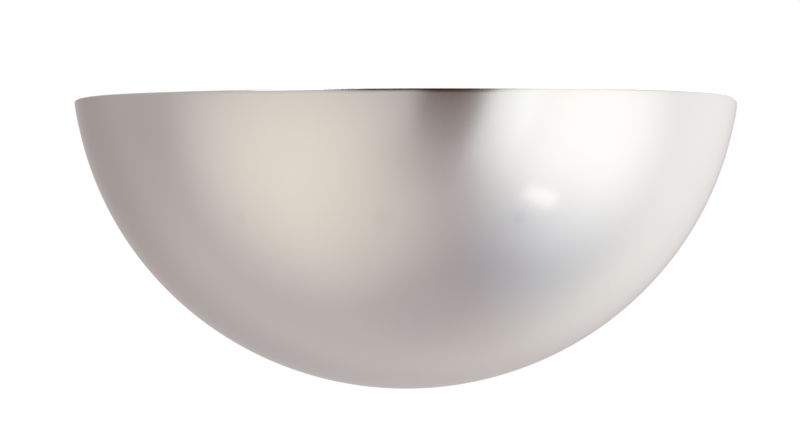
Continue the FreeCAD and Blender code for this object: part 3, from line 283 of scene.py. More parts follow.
def copper():
    m = Mat("copper")
    m.set(Metallic=1.0)
    m.colour(m.mix(m.span(m.noise(900, 3), 0.35, 0.65, 0, 1), rgb(0.86, 0.46, 0.29), rgb(0.66, 0.30, 0.17)))
    m.rough(m.span(m.noise(900, 2), 0.3, 0.7, 0.22, 0.4))
    m.bump((m.noise(3000, 2, 0.5, m.stretched((1, 1, 0.1))), 0.3, 0.00004))
    return m.m


M = {
    "satin_nickel": satin_nickel(),
    "inside_white": white_paint(),
    "zinc_steel": plated("zinc_steel", (0.70, 0.71, 0.72), (0.52, 0.54, 0.57), 0.30, 0.46, grain=(0.15, 1, 1), spots=0.25),
    "frame_steel": plated("frame_steel", (0.60, 0.59, 0.57), (0.46, 0.45, 0.44), 0.34, 0.50, grain=(0.1, 1, 1), spots=0.2),
    "screw_steel": plated("screw_steel", (0.74, 0.74, 0.73), (0.58, 0.58, 0.58), 0.18, 0.32),
    "nickel_nut": plated("nickel_nut", (0.78, 0.76, 0.72), (0.66, 0.64, 0.60), 0.14, 0.26),
    "white_ceramic": glazed(),
    "holder_brass": brass(),
    "cap_metal": plated("cap_metal", (0.80, 0.79, 0.77), (0.68, 0.67, 0.66), 0.20, 0.34),
    "clear_glass": clear_glass(),
    "stem_glass": clear_glass("stem_glass", (0.97, 0.985, 0.98), 0.02, 0.2),
    "black_glass": vitrite(),
    "filament_yellow": phosphor(),
    "fine_wire": plated("fine_wire", (0.68, 0.67, 0.65), (0.5, 0.5, 0.49), 0.25, 0.4),
    "white_plastic": moulded("white_plastic", (0.84, 0.83, 0.79), (0.78, 0.765, 0.72), 0.38, 0.52),
    "black_rubber": moulded("black_rubber", (0.028, 0.028, 0.029), (0.045, 0.044, 0.043), 0.55, 0.75, 1200, 0.4),
    "brown_sheath": moulded("brown_sheath", (0.13, 0.055, 0.022), (0.10, 0.04, 0.016), 0.28, 0.4, 500, 0.2, 0.1),
    "blue_sheath": moulded("blue_sheath", (0.012, 0.11, 0.42), (0.01, 0.085, 0.34), 0.28, 0.4, 500, 0.2, 0.1),
    "earth_sheath": moulded("earth_sheath", (0.04, 0.26, 0.05), (0.03, 0.21, 0.04), 0.28, 0.4, 500, 0.2, 0.1),
    "earth_stripe": moulded("earth_stripe", (0.82, 0.62, 0.03), (0.74, 0.55, 0.025), 0.28, 0.4, 500, 0.2, 0.1),
    "copper": copper(),
}


# ------------------------------------------------------------------ meshes
class Geo:
    """Faces of one piece, gathered in metres."""

    def __init__(self):
        self.v, self.f, self.k = [], [], []

    def grid(self, nu, nv, at, wrap=False, flip=False, mat=0):
        """A sheet of (nu x nv) points from at(i, j). wrap closes it along i."""
        base = len(self.v)
        for i in range(nu):
            for j in range(nv):
                self.v.append(tuple(at(i, j)))
        for i in range(nu if wrap else nu - 1):
            for j in range(nv - 1):
                a, b = base + i * nv + j, base + ((i + 1) % nu) * nv + j
                q = (a, b, b + 1, a + 1)
                self.f.append(q[::-1] if flip else q)
                self.k.append(mat)
        return base

    def make(self, name, body, slot, mats, replaces=(), sharp=38.0, merge=1e-6):
        me = bpy.data.meshes.new(name)
        me.from_pydata(self.v, [], self.f)
        for m in mats:
            me.materials.append(M[m])
        for p, k in zip(me.polygons, self.k):
            p.material_index = k
        bm = bmesh.new()
        bm.from_mesh(me)
        bmesh.ops.remove_doubles(bm, verts=bm.verts, dist=merge)
        bmesh.ops.dissolve_degenerate(bm, edges=bm.edges, dist=merge)
        bmesh.ops.recalc_face_normals(bm, faces=bm.faces)
        bm.to_mesh(me)
        bm.free()
        me.shade_smooth()
        me.set_sharp_from_angle(angle=math.radians(sharp))
        ob = bpy.data.objects.new(name, me)
        bpy.context.collection.objects.link(ob)
        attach(ob, body)
        if replaces:
            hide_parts(*replaces)
        return ob


class Axis:
    """A local frame: points are (across, up, along) in millimetres from an origin, along a direction."""

    def __init__(self, origin, along, roll=0.0):
        a = Vector(along).normalized()
        ref = Vector((0, 0, 1)) if abs(a.z) < 0.9 else Vector((1, 0, 0))
        e1 = ref.cross(a).normalized()
        e2 = a.cross(e1)
        c, s = math.cos(roll), math.sin(roll)
        self.o, self.a, self.e1, self.e2 = Vector(origin) * MM, a, e1 * c + e2 * s, e2 * c - e1 * s

    def at(self, r, t, h):
        """radius, angle, height in millimetres and radians"""
        return self.o + (self.e1 * (r * math.cos(t)) + self.e2 * (r * math.sin(t)) + self.a * h) * MM

    def xy(self, x, y, h):
        return self.o + (self.e1 * x + self.e2 * y + self.a * h) * MM


def lathe(g, ax, profile, n=72, mat=0, closed=False):
    """profile: (radius, height) pairs, turned right round."""
    pts = list(profile) + ([profile[0]] if closed else [])
    g.grid(n, len(pts), lambda i, j: ax.at(pts[j][0], TAU * i / n, pts[j][1]), wrap=True, mat=mat)


def thread(g, ax, r, depth, pitch, h0, h1, n=40, steps=8, mat=0, inside=False, round_=False, fade=0.8, hand=1):
    """A helical thread between two heights, faded out at both ends, with the ends brought to radius r - depth / 2."""
    rows = max(4, int(math.ceil((h1 - h0) / pitch * steps)))

    def at(i, j):
        t, h = TAU * i / n, h0 + (h1 - h0) * j / rows
        u = (h / pitch - hand * i / n) % 1.0
        if round_:
            w = 0.5 - 0.5 * math.cos(TAU * u)
        else:
            w = min(1.0, max(0.0, (1.0 - abs(2 * u - 1.0)) * 1.25 - 0.12))
        k = min(1.0, (h - h0) / (fade * pitch), (h1 - h) / (fade * pitch))
        k = max(0.0, k)
        rr = r - depth + depth * w if not inside else r + depth * w
        mid = (r - depth) if not inside else r + depth
        return ax.at(mid + (rr - mid) * k, t, h)

    g.grid(n, rows + 1, at, wrap=True, mat=mat)


def pan_head(g, ax, r, tall, hole=0.0, cross=True, n=72, mat=0, slot=False):
    """Head standing along the axis from its seat: crowned, with a cross or slot recess."""
    rings = 26
    edge = 0.62 * tall

    def crown(q):
        return edge + (tall - edge) * (1 - q ** 2.6)

    arm, wide, deep = 0.60 * r, 0.135 * r, 0.62 * tall

    def at(i, j):
        t = TAU * i / n
        q = j / rings
        x, y = q * r * math.cos(t), q * r * math.sin(t)
        h = crown(q)
        best = 0.0
        if cross:
            for u, v in ((x, y), (y, x)):
                a = abs(u) / arm
                w = wide * (1.25 - 0.35 * min(1.0, a))
                side = min(1.0, max(0.0, (w - abs(v)) / (0.06 * r) + 0.5))
                end = min(1.0, max(0.0, (1.0 - a) / 0.16))
                best = max(best, side * end * (1.0 - 0.25 * min(1.0, a)))
        if slot:
            best = max(best, min(1.0, max(0.0, (0.11 * r - abs(y)) / (0.05 * r) + 0.5)))
            return ax.xy(x, y, h - 0.45 * tall * best)
        return ax.xy(x, y, h - deep * best)

    g.grid(n, rings + 1, at, wrap=True, mat=mat)
    lathe(g, ax, [(r, edge), (r * 1.0, 0.14 * tall), (r * 0.965, 0.0), (hole, 0.0)], n, mat)


def screw(g, seat, along, r, length, head_r, head_tall, pitch=0.7, mat=0, threaded=True, roll=0.0, slot=False):
    """along is the way the screw goes in."""
    ax = Axis(seat, along, roll)
    back = Axis(seat, -Vector(along), -roll)
    core = r - 0.51 * pitch
    pan_head(g, back, head_r, head_tall, core, cross=not slot, slot=slot, n=64, mat=mat)
    thread(g, ax, r, 0.51 * pitch, pitch, 0.0, length - 0.5 * pitch, n=64, mat=mat)
    lathe(g, ax, [(core, length - 0.5 * pitch), (core * 0.82, length), (0.0001, length)], 64, mat)


def hex_nut(g, seat, along, flats, tall, bore, pitch=0.7, mat=0, roll=0.3):
    ax = Axis(seat, along, roll)
    n = 120
    levels = [0, 0.06, 0.14, 0.26, 0.42, 0.7, 1.2]
    levels = levels + [tall - x for x in levels[::-1] if x < tall / 2]

    def at(i, j):
        t = TAU * i / n
        a = (t % (TAU / 6)) - TAU / 12
        corner = flats / 2 / math.cos(a)
        h = levels[j]
        d = min(h, tall - h)
        return ax.at(min(corner, flats / 2 * 0.985 + d * 1.732), t, h)

    g.grid(n, len(levels), at, wrap=True, mat=mat)
    for h in (0.0, tall):
        s = 0.25 if h == 0.0 else -0.25
        g.grid(n, 3, lambda i, j, h=h, s=s: ax.at((min(flats / 2 / math.cos((TAU * i / n) % (TAU / 6) - TAU / 12), flats / 2 * 0.985), bore + 0.28, bore)[j], TAU * i / n, (h, h, h + s)[j]), wrap=True, mat=mat)
    lathe(g, ax, [(bore, 0.25), (bore, tall - 0.25)], n, mat)


def washer(g, seat, along, r, hole, thick, mat=0, dish=0.0):
    ax = Axis(seat, along)
    c = 0.12 * thick
    lathe(g, ax, [(hole, c), (hole + c, 0), (r - c, 0), (r, c), (r, thick - c), (r - c, thick), (hole + c, thick), (hole, thick - c)], 64, mat, closed=True)


# ------------------------------------------------------------------ bowl
A, B, ZC, ZR, GAUGE = 150.9, 147.8, 60.8, 45.0, 1.0


def bowl():
    g = Geo()
    zm = ZR - GAUGE / 2
    nphi, nt = 224, 128

    def arc(a, b):
        top = math.asin((zm - ZC) / b)
        return [(a * math.cos(t), ZC + b * math.sin(t)) for t in (-math.pi / 2 + (top + math.pi / 2) * k / nt for k in range(nt + 1))]

    outer, inner = arc(A, B), arc(A - GAUGE, B - GAUGE)
    cx, r = (outer[-1][0] + inner[-1][0]) / 2, (outer[-1][0] - inner[-1][0]) / 2
    rim = [(cx + r * math.cos(math.pi * k / 12), zm + r * math.sin(math.pi * k / 12)) for k in range(13)]

    def lowered(y, z):
        """The ends of the rim, next to the wall, are dressed down a little."""
        near = max(0.0, 1.0 + y / 110.0)
        up = min(1.0, max(0.0, (z - 28.0) / 17.0))
        return z - 2.4 * near ** 2.5 * up * up * (3 - 2 * up)

    def sweep(pts, mat):
        def at(i, j):
            p = math.pi + math.pi * i / nphi
            x, y = pts[j][0] * math.cos(p), pts[j][0] * math.sin(p)
            return Vector((x, y, lowered(y, pts[j][1]))) * MM
        g.grid(nphi + 1, len(pts), at, mat=mat)

    sweep(outer, 0)
    sweep(rim, 0)
    sweep(inner, 1)
    # the cut edge in the wall plane
    for side in (-1, 1):
        g.grid(2, nt + 1, lambda i, j, s=side: Vector((s * (outer, inner)[i][j][0], 0, lowered(0, (outer, inner)[i][j][1]))) * MM, mat=0)
        g.grid(2, 13, lambda i, j, s=side: Vector((s * rim[j * i][0], 0, lowered(0, rim[j * i][1]))) * MM, mat=0)
    return g.make("bowl_satin_shell", "bowl", "satin_nickel", ["satin_nickel", "inside_white"], ["bowl_shell"], sharp=50)


bowl()

# ------------------------------------------------------------------ fixings with real threads and drives
g = Geo()
for s in (-1, 1):
    seat = (s * 97, -6.5, 0)
    pan_head(g, Axis(seat, (0, 1, 0), 0.4 * s), 4.0, 2.4, 1.99, n=64)
    ax = Axis(seat, (0, -1, 0), -0.4 * s)
    lathe(g, ax, [(1.99, 0.0), (1.99, 1.4), (1.64, 1.6)], 64)
    thread(g, ax, 2.0, 0.36, 0.7, 1.6, 27.0, n=64)
    lathe(g, ax, [(1.64, 27.0), (1.3, 27.5), (0.0001, 27.5)], 64)
g.make("wall_studs", "wall_mount", "screw_steel", ["screw_steel"], ["mounting_studs"])

g = Geo()
for s in (-1, 1):
    hex_nut(g, (s * 97, -8, 0), (0, -1, 0), 7, 3.2, 2.05, roll=0.3 * s)
g.make("wall_stud_nuts", "wall_mount", "screw_steel", ["screw_steel"], ["stud_lock_nuts"])

g = Geo()
screw(g, (82, -9.2, 0), (0, 1, 0), 2.0, 6.2, 4.0, 2.4, roll=0.7)
g.make("strap_earth_screw", "wall_mount", "holder_brass", ["holder_brass"], ["bracket_earth_screw"])
g = Geo()
washer(g, (82, -8, 0), (0, -1, 0), 4.5, 2.15, 1.2)
g.make("strap_earth_cup", "wall_mount", "holder_brass", ["holder_brass"], ["bracket_earth_washer"])

PANEL_SCREWS = [(0, -79), (88, -49.4), (-88, -49.4), (137.3, 22.3), (-137.3, 22.3)]
g = Geo()
for i, (x, z) in enumerate(PANEL_SCREWS):
    screw(g, (x, -18.5, z), (0, -1, 0), 1.5, 5.5, 2.75, 2.0, 0.5, roll=1.1 * i)
g.make("panel_fixing_screws", "bowl", "screw_steel", ["screw_steel"], ["panel_screws"])

g = Geo()
for i, z in enumerate((8, -8)):
    screw(g, (-68, -22.7, z), (0, 1, 0), 2.0, 8.5, 4.0, 2.4, roll=0.5 + i)
g.make("arm_foot_screws", "bowl", "screw_steel", ["screw_steel"], ["lamp_bracket_screws"])
g = Geo()
for i, z in enumerate((8, -8)):
    hex_nut(g, (-68, -20, z), (0, 1, 0), 7, 3.2, 2.05, roll=0.2 + 0.5 * i)
g.make("arm_foot_nuts", "bowl", "screw_steel", ["screw_steel"], ["lamp_bracket_nuts"])

g = Geo()
for i, z in enumerate((10, -10)):
    screw(g, (-81.5, -62, z), (1, 0, 0), 1.5, 9, 2.75, 2.0, 0.5, roll=0.9 * i)
g.make("holder_screws", "bowl", "screw_steel", ["screw_steel"], ["lampholder_fixing_screws"])

g = Geo()
for i, x in enumerate((-5, 5)):
    screw(g, (x, -11, -38.5), (0, -1, 0), 1.5, 12.5, 2.75, 2.0, 0.5, roll=0.4 + i)
g.make("block_fixing_screws", "bowl", "screw_steel", ["screw_steel"], ["terminal_block_fixings"])

g = Geo()
screw(g, (50, -21.2, -36), (0, 1, 0), 2.0, 9.5, 4.0, 2.4, roll=0.25)
g.make("panel_earth_screw", "bowl", "holder_brass", ["holder_brass"], ["earth_screw"])
g = Geo()
hex_nut(g, (50, -18.5, -36), (0, 1, 0), 7, 3.2, 2.05, roll=0.15)
g.make("panel_earth_nut", "bowl", "holder_brass", ["holder_brass"], ["earth_nut"])
g = Geo()
# toothed washer
ax = Axis((50, -19.2, -36), (0, 1, 0))
teeth = 12
g.grid(144, 5, lambda i, j: ax.at((2.15, 3.1, 3.1 + (0.8 if (i * teeth // 72) % 2 == 0 else 0.1), 3.1, 2.15)[j], TAU * i / 144, (0.12, 0.1, 0.1 + (0.28 if (i * teeth // 72) % 2 == 0 else 0.1), 0.6, 0.58)[j]), wrap=True)
g.grid(144, 2, lambda i, j: ax.at(2.15, TAU * i / 144, (0.58, 0.12)[j]), wrap=True)
g.make("panel_earth_washer", "bowl", "holder_brass", ["holder_brass"], ["earth_washer"])

# ------------------------------------------------------------------ knurled nuts and their washers
for side, s in (("left", -1), ("right", 1)):
    g = Geo()
    washer(g, (s * 97, -21.23, 0), (0, -1, 0), 5.0, 2.15, 0.75)
    g.make("hand_nut_washer_" + side, "washer_" + side, "screw_steel", ["screw_steel"], ["nut_washer_" + side])
    g = Geo()
    ax = Axis((s * 97, -22, 0), (0, -1, 0))
    lathe(g, ax, [(2.05, 0.3), (2.35, 0.0), (4.2, 0.0), (4.5, 0.3), (4.5, 2.2), (4.7, 2.55), (5.9, 2.9), (6.1, 3.0)], 216)
    rows = [3.0, 3.12, 3.3, 3.55, 3.9, 5.0, 6.0, 7.0, 8.1, 8.45, 8.7, 8.88, 9.0]

    def knurled(i, j):
        h = rows[j]
        d = min(h - 3.0, 9.0 - h)
        edge = min(1.0, d / 0.45)
        u = (i % 6) / 6.0
        tooth = 1.0 - abs(2 * u - 1.0)
        return ax.at(6.1 + 0.38 * math.sin(edge * math.pi / 2) * (0.25 + 0.75 * min(1, 1.35 * tooth)), TAU * i / 216, h)

    g.grid(216, len(rows), knurled, wrap=True)
    lathe(g, ax, [(6.1, 9.0), (5.4, 9.0), (5.2, 8.85), (4.9, 8.8), (3.0, 8.8), (2.7, 8.75), (2.4, 8.6), (2.05, 8.3)], 216)
    lathe(g, ax, [(2.05, 8.3), (2.05, 0.3)], 216)
    g.make("hand_nut_" + side, "nut_" + side, "nickel_nut", ["nickel_nut"], ["thumb_nut_" + side], sharp=30)

# ------------------------------------------------------------------ lamp
SEAT = (-62.4, -62, 0)
LX = Axis(SEAT, (1, 0, 0))
g = Geo()
lathe(g, LX, [(0.0001, 0.0), (1.6, 0.04), (3.0, 0.2), (4.1, 0.55), (4.7, 0.95), (4.8, 1.4), (0.0001, 1.4)], 64)
g.make("lamp_contact_button", "lamp_seat", "holder_brass", ["cap_metal"], ["lamp_contact"])
g = Geo()
lathe(g, LX, [(0.0001, 1.45), (4.7, 1.45), (5.2, 1.5), (5.9, 1.75), (6.9, 2.35), (8.2, 2.9), (9.6, 3.3), (10.8, 3.75), (11.2, 4.2), (0.0001, 4.2)], 96)
g.make("lamp_cap_insulator", "lamp", "black_glass", ["black_glass"], ["lamp_insulator"])

g = Geo()
lathe(g, LX, [(8.0, 4.6), (8.0, 4.2), (10.9, 4.2), (11.6, 4.5), (12.2, 5.2), (12.45, 5.9)], 96)
n, rows = 96, 5 * 18
h0, h1 = 5.9, 24.0


def cap_thread(i, j):
    h = h0 + (h1 - h0) * j / rows
    u = (h / 3.629 - i / n) % 1.0
    w = 0.5 - 0.5 * math.cos(TAU * u)
    k = max(0.0, min(1.0, (h - h0) / 2.4, (h1 - h) / 2.6))
    return LX.at(12.45 + 0.73 * (w * k), TAU * i / n, h)


g.grid(n, rows + 1, cap_thread, wrap=True)
lathe(g, LX, [(12.45, 24.0), (12.6, 24.5), (13.3, 24.75), (13.5, 25.1), (13.5, 26.2), (13.35, 26.8), (13.1, 27.0), (12.85, 26.9), (12.8, 26.0), (12.8, 24.4), (12.2, 24.0), (12.2, 6.2), (8.0, 4.6)], 96)
g.make("lamp_screw_cap", "lamp", "cap_metal", ["cap_metal"], ["lamp_cap"], sharp=40)


def envelope(inset, n_arc=40):
    r, f, neck = 30.0 - inset, 39.8 + inset, 12.7 - inset
    pts = [(neck, 23.0), (neck, 25.0), (neck, 27.5), (neck, 30.0)]
    fc = (30.0, 12.7 + 39.8)
    d = Vector((fc[0] - 76.0, fc[1])).normalized()
    a1 = math.atan2(d.y, d.x)
    touch = (76.0 + d.x * r, d.y * r)
    b1 = math.atan2(touch[1] - fc[1], touch[0] - fc[0])
    b0 = -math.pi / 2
    for k in range(1, n_arc + 1):
        b = b0 + (b1 - b0) * k / n_arc
        pts.append((fc[1] + f * math.sin(b), fc[0] + f * math.cos(b)))
    m = 2 * n_arc
    for k in range(1, m + 1):
        a = a1 * (1 - k / m)
        pts.append((max(0.0001, r * math.sin(a)), 76.0 + r * math.cos(a)))
    return pts


g = Geo()
out, inn = envelope(0.0), envelope(0.8)
lathe(g, LX, out, 128)
lathe(g, LX, inn, 128)
lathe(g, LX, [out[0], inn[0]], 128)
g.make("lamp_envelope", "lamp", "clear_glass", ["clear_glass"], ["lamp_glass"], sharp=60)

g = Geo()
lathe(g, LX, [(0.0001, 23.0), (9.0, 23.0), (11.75, 23.05), (11.8, 23.9), (10.6, 24.6), (8.4, 26.2), (6.9, 28.4), (5.6, 31.5), (4.8, 35.0), (4.5, 39.0), (4.4, 42.5), (3.6, 44.2), (2.2, 46.0), (1.75, 50.0), (1.62, 66.0), (1.6, 82.6), (1.9, 83.6), (2.35, 84.6), (2.4, 85.4), (2.0, 86.6), (1.2, 87.35), (0.0001, 87.5)], 64)
g.make("lamp_glass_stem", "lamp", "stem_glass", ["stem_glass"], ["lamp_stem"], sharp=70)

strips, leads = Geo(), Geo()
base = Vector(SEAT)
for i in range(4):
    a, twist = math.radians(45 + 90 * i), math.radians(34)
    p = base + Vector((47, 9.5 * math.cos(a), 9.5 * math.sin(a)))
    q = base + Vector((83, 9.5 * math.cos(a + twist), 9.5 * math.sin(a + twist)))
    d = q - p
    long_ = d.length
    ax = Axis(p, d, roll=a)
    n, rows = 28, 44

    def strip(i_, j_, ax=ax, long_=long_):
        t = TAU * i_ / n
        h = 1.6 + (long_ - 3.2) * j_ / rows
        e = min(1.0, min(h - 1.6, long_ - 1.6 - h) / 0.5)
        k = 0.35 + 0.65 * math.sqrt(max(0.0, 1 - (1 - e) ** 2))
        k *= 1.0 + 0.02 * math.sin(h * 4.1)
        c, s_ = math.cos(t), math.sin(t)
        x = 0.88 * k * math.copysign(abs(c) ** 0.7, c)
        y = 0.52 * k * math.copysign(abs(s_) ** 0.7, s_)
        return ax.xy(x, y, h)

    strips.grid(n, rows + 1, strip, wrap=True)
    for row in (0, rows):
        middle = sum((strip(i_, row) for i_ in range(n)), Vector()) / n
        strips.grid(n, 2, lambda i_, j_, row=row, middle=middle: strip(i_, row) if j_ == 0 else middle, wrap=True)
    # metal tab at each end
    for h_a, h_b in ((0.1, 2.0), (long_ - 2.0, long_ - 0.1)):
        box = [(x, y, h) for h in (h_a, h_b) for x, y in ((-0.42, -0.12), (0.42, -0.12), (0.42, 0.12), (-0.42, 0.12))]
        b0 = len(strips.v)
        strips.v += [tuple(ax.xy(*c)) for c in box]
        for f in ((0, 1, 2, 3), (7, 6, 5, 4), (0, 4, 5, 1), (1, 5, 6, 2), (2, 6, 7, 3), (3, 7, 4, 0)):
            strips.f.append(tuple(b0 + x for x in f))
            strips.k.append(1)

    # supports: bent wire from the stem, and from the rod's button
    for c0, end, mid in (
        (base + Vector((41.5, 4.5 * math.cos(a), 4.5 * math.sin(a))), p + d.normalized() * 0.4, base + Vector((44.0, 8.6 * math.cos(a), 8.6 * math.sin(a)))),
        (base + Vector((84.8, 2.2 * math.cos(a + twist), 2.2 * math.sin(a + twist))), q - d.normalized() * 0.4, base + Vector((85.6, 7.6 * math.cos(a + twist), 7.6 * math.sin(a + twist)))),
    ):
        pts = []
        for k in range(13):
            t = k / 12
            pts.append(c0 * (1 - t) ** 2 + mid * 2 * t * (1 - t) + end * t ** 2)
        nn = 10
        tang = [(pts[min(k + 1, 12)] - pts[max(k - 1, 0)]).normalized() for k in range(13)]
        ref = Vector((0, 0, 1)) if abs(tang[0].z) < 0.8 else Vector((0, 1, 0))

        def bent(i_, j_, pts=pts, tang=tang, ref=ref):
            t_ = tang[j_]
            e1 = ref.cross(t_).normalized()
            e2 = t_.cross(e1)
            w = TAU * i_ / nn
            return (pts[j_] + (e1 * math.cos(w) + e2 * math.sin(w)) * 0.28) * MM

        leads.grid(nn, 13, bent, wrap=True)
        for j_, e in ((0, 0), (12, 0)):
            b0 = len(leads.v)
            leads.v += [tuple(bent(i_, j_)) for i_ in range(nn)]
            leads.f.append(tuple(range(b0, b0 + nn)))
            leads.k.append(0)
strips.make("lamp_filament_strips", "lamp", "filament_yellow", ["filament_yellow", "fine_wire"], ["lamp_filaments"], sharp=60)
leads.make("lamp_support_leads", "lamp", "fine_wire", ["fine_wire"], ["lamp_support_wires"], sharp=60)

# ------------------------------------------------------------------ screw shell of the lampholder
HX = Axis((-80, -62, 0), (1, 0, 0))
g = Geo()
lathe(g, HX, [(9.0, 16.5), (9.0, 16.0), (13.4, 16.0), (13.9, 16.3)], 96)
n, rows = 96, 5 * 16
for off in (0.0, -0.35):
    def shell(i, j, off=off):
        h = 16.3 + 18.7 * j / rows
        u = ((h - 17.6) / 3.629 - i / n) % 1.0
        w = 0.5 - 0.5 * math.cos(TAU * u)
        k = max(0.0, min(1.0, (h - 16.3) / 2.0, (35.0 - h) / 1.5))
        r = 14.0 - 0.0 * w - (1 - k) * 0.05
        return HX.at(min(14.08, 13.62 + 0.42 * w * k) + (0.0 if off == 0.0 else -0.0) + (0.06 if off == 0.0 else 0.0), TAU * i / n, h)
    g.grid(n, rows + 1, shell, wrap=True, flip=off != 0.0)
lathe(g, HX, [(13.68, 35.0), (13.62, 35.0)], 96)
lathe(g, HX, [(13.9, 16.3), (13.68, 16.3)], 96)
lathe(g, HX, [(13.62, 16.3), (9.0, 16.5)], 96)
g.make("holder_screw_shell", "bowl", "holder_brass", ["holder_brass"], ["lampholder_screw_shell"], sharp=50)


# ------------------------------------------------------------------ wires
def centreline(points):
    """Points along the smooth line of a wire, from its NURBS spline."""
    cu = bpy.data.curves.new("line", "CURVE")
    cu.dimensions = "3D"
    cu.resolution_u = 14
    sp = cu.splines.new("NURBS")
    sp.points.add(len(points) - 1)
    for p, c in zip(sp.points, points):
        p.co = (*(x * MM for x in c), 1.0)
    sp.order_u = 3
    sp.use_endpoint_u = True
    ob = bpy.data.objects.new("line", cu)
    me = bpy.data.meshes.new_from_object(ob)
    line = [v.co.copy() for v in me.vertices]
    bpy.data.objects.remove(ob)
    bpy.data.curves.remove(cu)
    bpy.data.meshes.remove(me)
    return line


def wire(name, node, points, radius, slot, mats, stripe=False):
    line = centreline(points)
    g = Geo()
    n = 20
    frames = []
    t0 = (line[1] - line[0]).normalized()
    e = (Vector((1, 0, 0)) if abs(t0.x) < 0.8 else Vector((0, 1, 0))).cross(t0).normalized()
    for k, p in enumerate(line):
        t = (line[min(k + 1, len(line) - 1)] - line[max(k - 1, 0)]).normalized()
        e = (e - t * e.dot(t)).normalized()
        frames.append((p, e, t.cross(e)))
    base = len(g.v)
    for i in range(n):
        for p, e1, e2 in frames:
            w = TAU * i / n
            g.v.append(tuple(p + (e1 * math.cos(w) + e2 * math.sin(w)) * radius * MM))
    m = len(frames)
    for i in range(n):
        for j in range(m - 1):
            a, b = base + i * m + j, base + ((i + 1) % n) * m + j
            g.f.append((a, b, b + 1, a + 1))
            g.k.append(1 if stripe and (i in (0, 1, 2, 10, 11, 12)) else 0)
    for j in (0, m - 1):
        g.f.append(tuple(base + i * m + j for i in range(n)))
        g.k.append(0)
    return g.make(name, "bowl", slot, mats, [node], sharp=60)


wire("live_lead", "live_wire", [
    (-10, -14, -46.1), (-10, -14, -49.5), (-10.5, -14, -55), (-20, -13, -60), (-36, -13.4, -58.5), (-52, -12.8, -49), (-54.5, -13, -36.8),
    (-54.5, -28, -36.8), (-57.5, -42, -35.5), (-74, -61, -39), (-73, -75.5, -34), (-73, -75.5, -21), (-73, -75.5, -4.9),
], 1.1, "brown_sheath", ["brown_sheath"])
wire("neutral_lead", "neutral_wire", [
    (0, -14, -46.1), (0, -14, -49.5), (-0.5, -14, -55.5), (-7, -16.2, -63.5), (-27, -16.3, -64.5), (-48, -16, -59), (-57.6, -15, -50), (-57.6, -14, -39.2),
    (-57.6, -27, -39.2), (-61, -38, -38.5), (-73, -45.5, -35), (-73, -48.5, -28), (-73, -48.5, -19), (-73, -48.5, -4.9),
], 1.1, "blue_sheath", ["blue_sheath"])
wire("earth_lead", "earth_wire", [
    (10, -14, -46.1), (10, -14, -49.5), (10.4, -14, -54), (17, -12.5, -60.5), (30, -13, -62.5), (47, -16, -62), (50, -18.3, -56), (50, -18.3, -51), (50, -18.3, -48.1),
], 1.1, "earth_sheath", ["earth_sheath", "earth_stripe"], stripe=True)

# ------------------------------------------------------------------ CAD nodes that stay: materials, and softened edges
STAY = {
    "wall_bracket": ("zinc_steel", 0.18), "cable_bush": ("black_rubber", 0.12), "rear_frame": ("frame_steel", 0.15), "back_panel": ("inside_white", 0.2),
    "lamp_bracket": ("zinc_steel", 0.18), "lampholder_body": ("white_ceramic", 0.35), "lampholder_centre_contact": ("holder_brass", 0.0),
    "lampholder_terminals": ("holder_brass", 0.12), "lampholder_terminal_screws": ("screw_steel", 0.0),
    "terminal_block_body": ("white_plastic", 0.25), "terminal_block_tubes": ("holder_brass", 0.1), "terminal_block_screws": ("screw_steel", 0.08),
    "wire_grommet": ("black_rubber", 0.15), "earth_tag": ("fine_wire", 0.08), "bare_conductor_ends": ("copper", 0.0),
}
for name, (look, soft) in STAY.items():
    o = NODES[name]
    for s in o.material_slots:
        s.link = "OBJECT"
        s.material = M[look]
    if soft:
        b = o.modifiers.new("soft_edges", "BEVEL")
        b.width = soft * MM
        b.segments = 2
        b.limit_method = "ANGLE"
        b.angle_limit = math.radians(50)
        b.use_clamp_overlap = True

# ------------------------------------------------------------------ floor
fl = Geo()
fl.grid(65, 2, lambda i, j: ((0.0, 8.0)[j] * math.cos(TAU * i / 64), (0.0, 8.0)[j] * math.sin(TAU * i / 64), -0.62), flip=True)
me = bpy.data.meshes.new("floor")
me.from_pydata(fl.v, [], fl.f)
floor = bpy.data.objects.new("floor", me)
bpy.context.collection.objects.link(floor)
fm = Mat("pale_floor")
fm.colour(fm.mix(fm.span(fm.noise(3, 3), 0.3, 0.7, 0, 1), rgb(0.87, 0.87, 0.86), rgb(0.85, 0.85, 0.84)))
fm.set(Roughness=0.7, Specular_IOR_Level=0.2)
# the floor fades into the white backdrop with distance
from_middle = fm.node("ShaderNodeVectorMath", operation="LENGTH")
fm.join(fm.where, from_middle.inputs[0])
fm.join(fm.span(from_middle.outputs["Value"], 1.2, 6.5, 0.08, 1.0, True), fm.p.inputs["Emission Strength"])
fm.set(Emission_Color=rgb(1, 1, 1))
me.materials.append(fm.m)
floor.visible_glossy = False
floor.visible_shadow = False
floor.visible_transmission = False

# ------------------------------------------------------------------ camera
cam = bpy.data.cameras.new("camera")
cam.sensor_width = 36
cam.lens = 158.8
cam.clip_end = 60
camera = bpy.data.objects.new("camera", cam)
bpy.context.collection.objects.link(camera)
camera.matrix_world = (
    Matrix.Translation((0.0418, -1.602, 0.0038)) @ Matrix.Rotation(0.028, 4, "Z") @ Matrix.Rotation(math.pi / 2 - 0.008, 4, "X") @ Matrix.Rotation(-0.005, 4, "Z")
)
bpy.context.scene.camera = camera

# ------------------------------------------------------------------ studio
world = bpy.data.worlds.new("studio")
bpy.context.scene.world = world
world.use_nodes = True
wt = world.node_tree
wt.nodes.clear()


def wnode(kind, **settings):
    n = wt.nodes.new(kind)
    for k, v in settings.items():
        setattr(n, k, v)
    return n


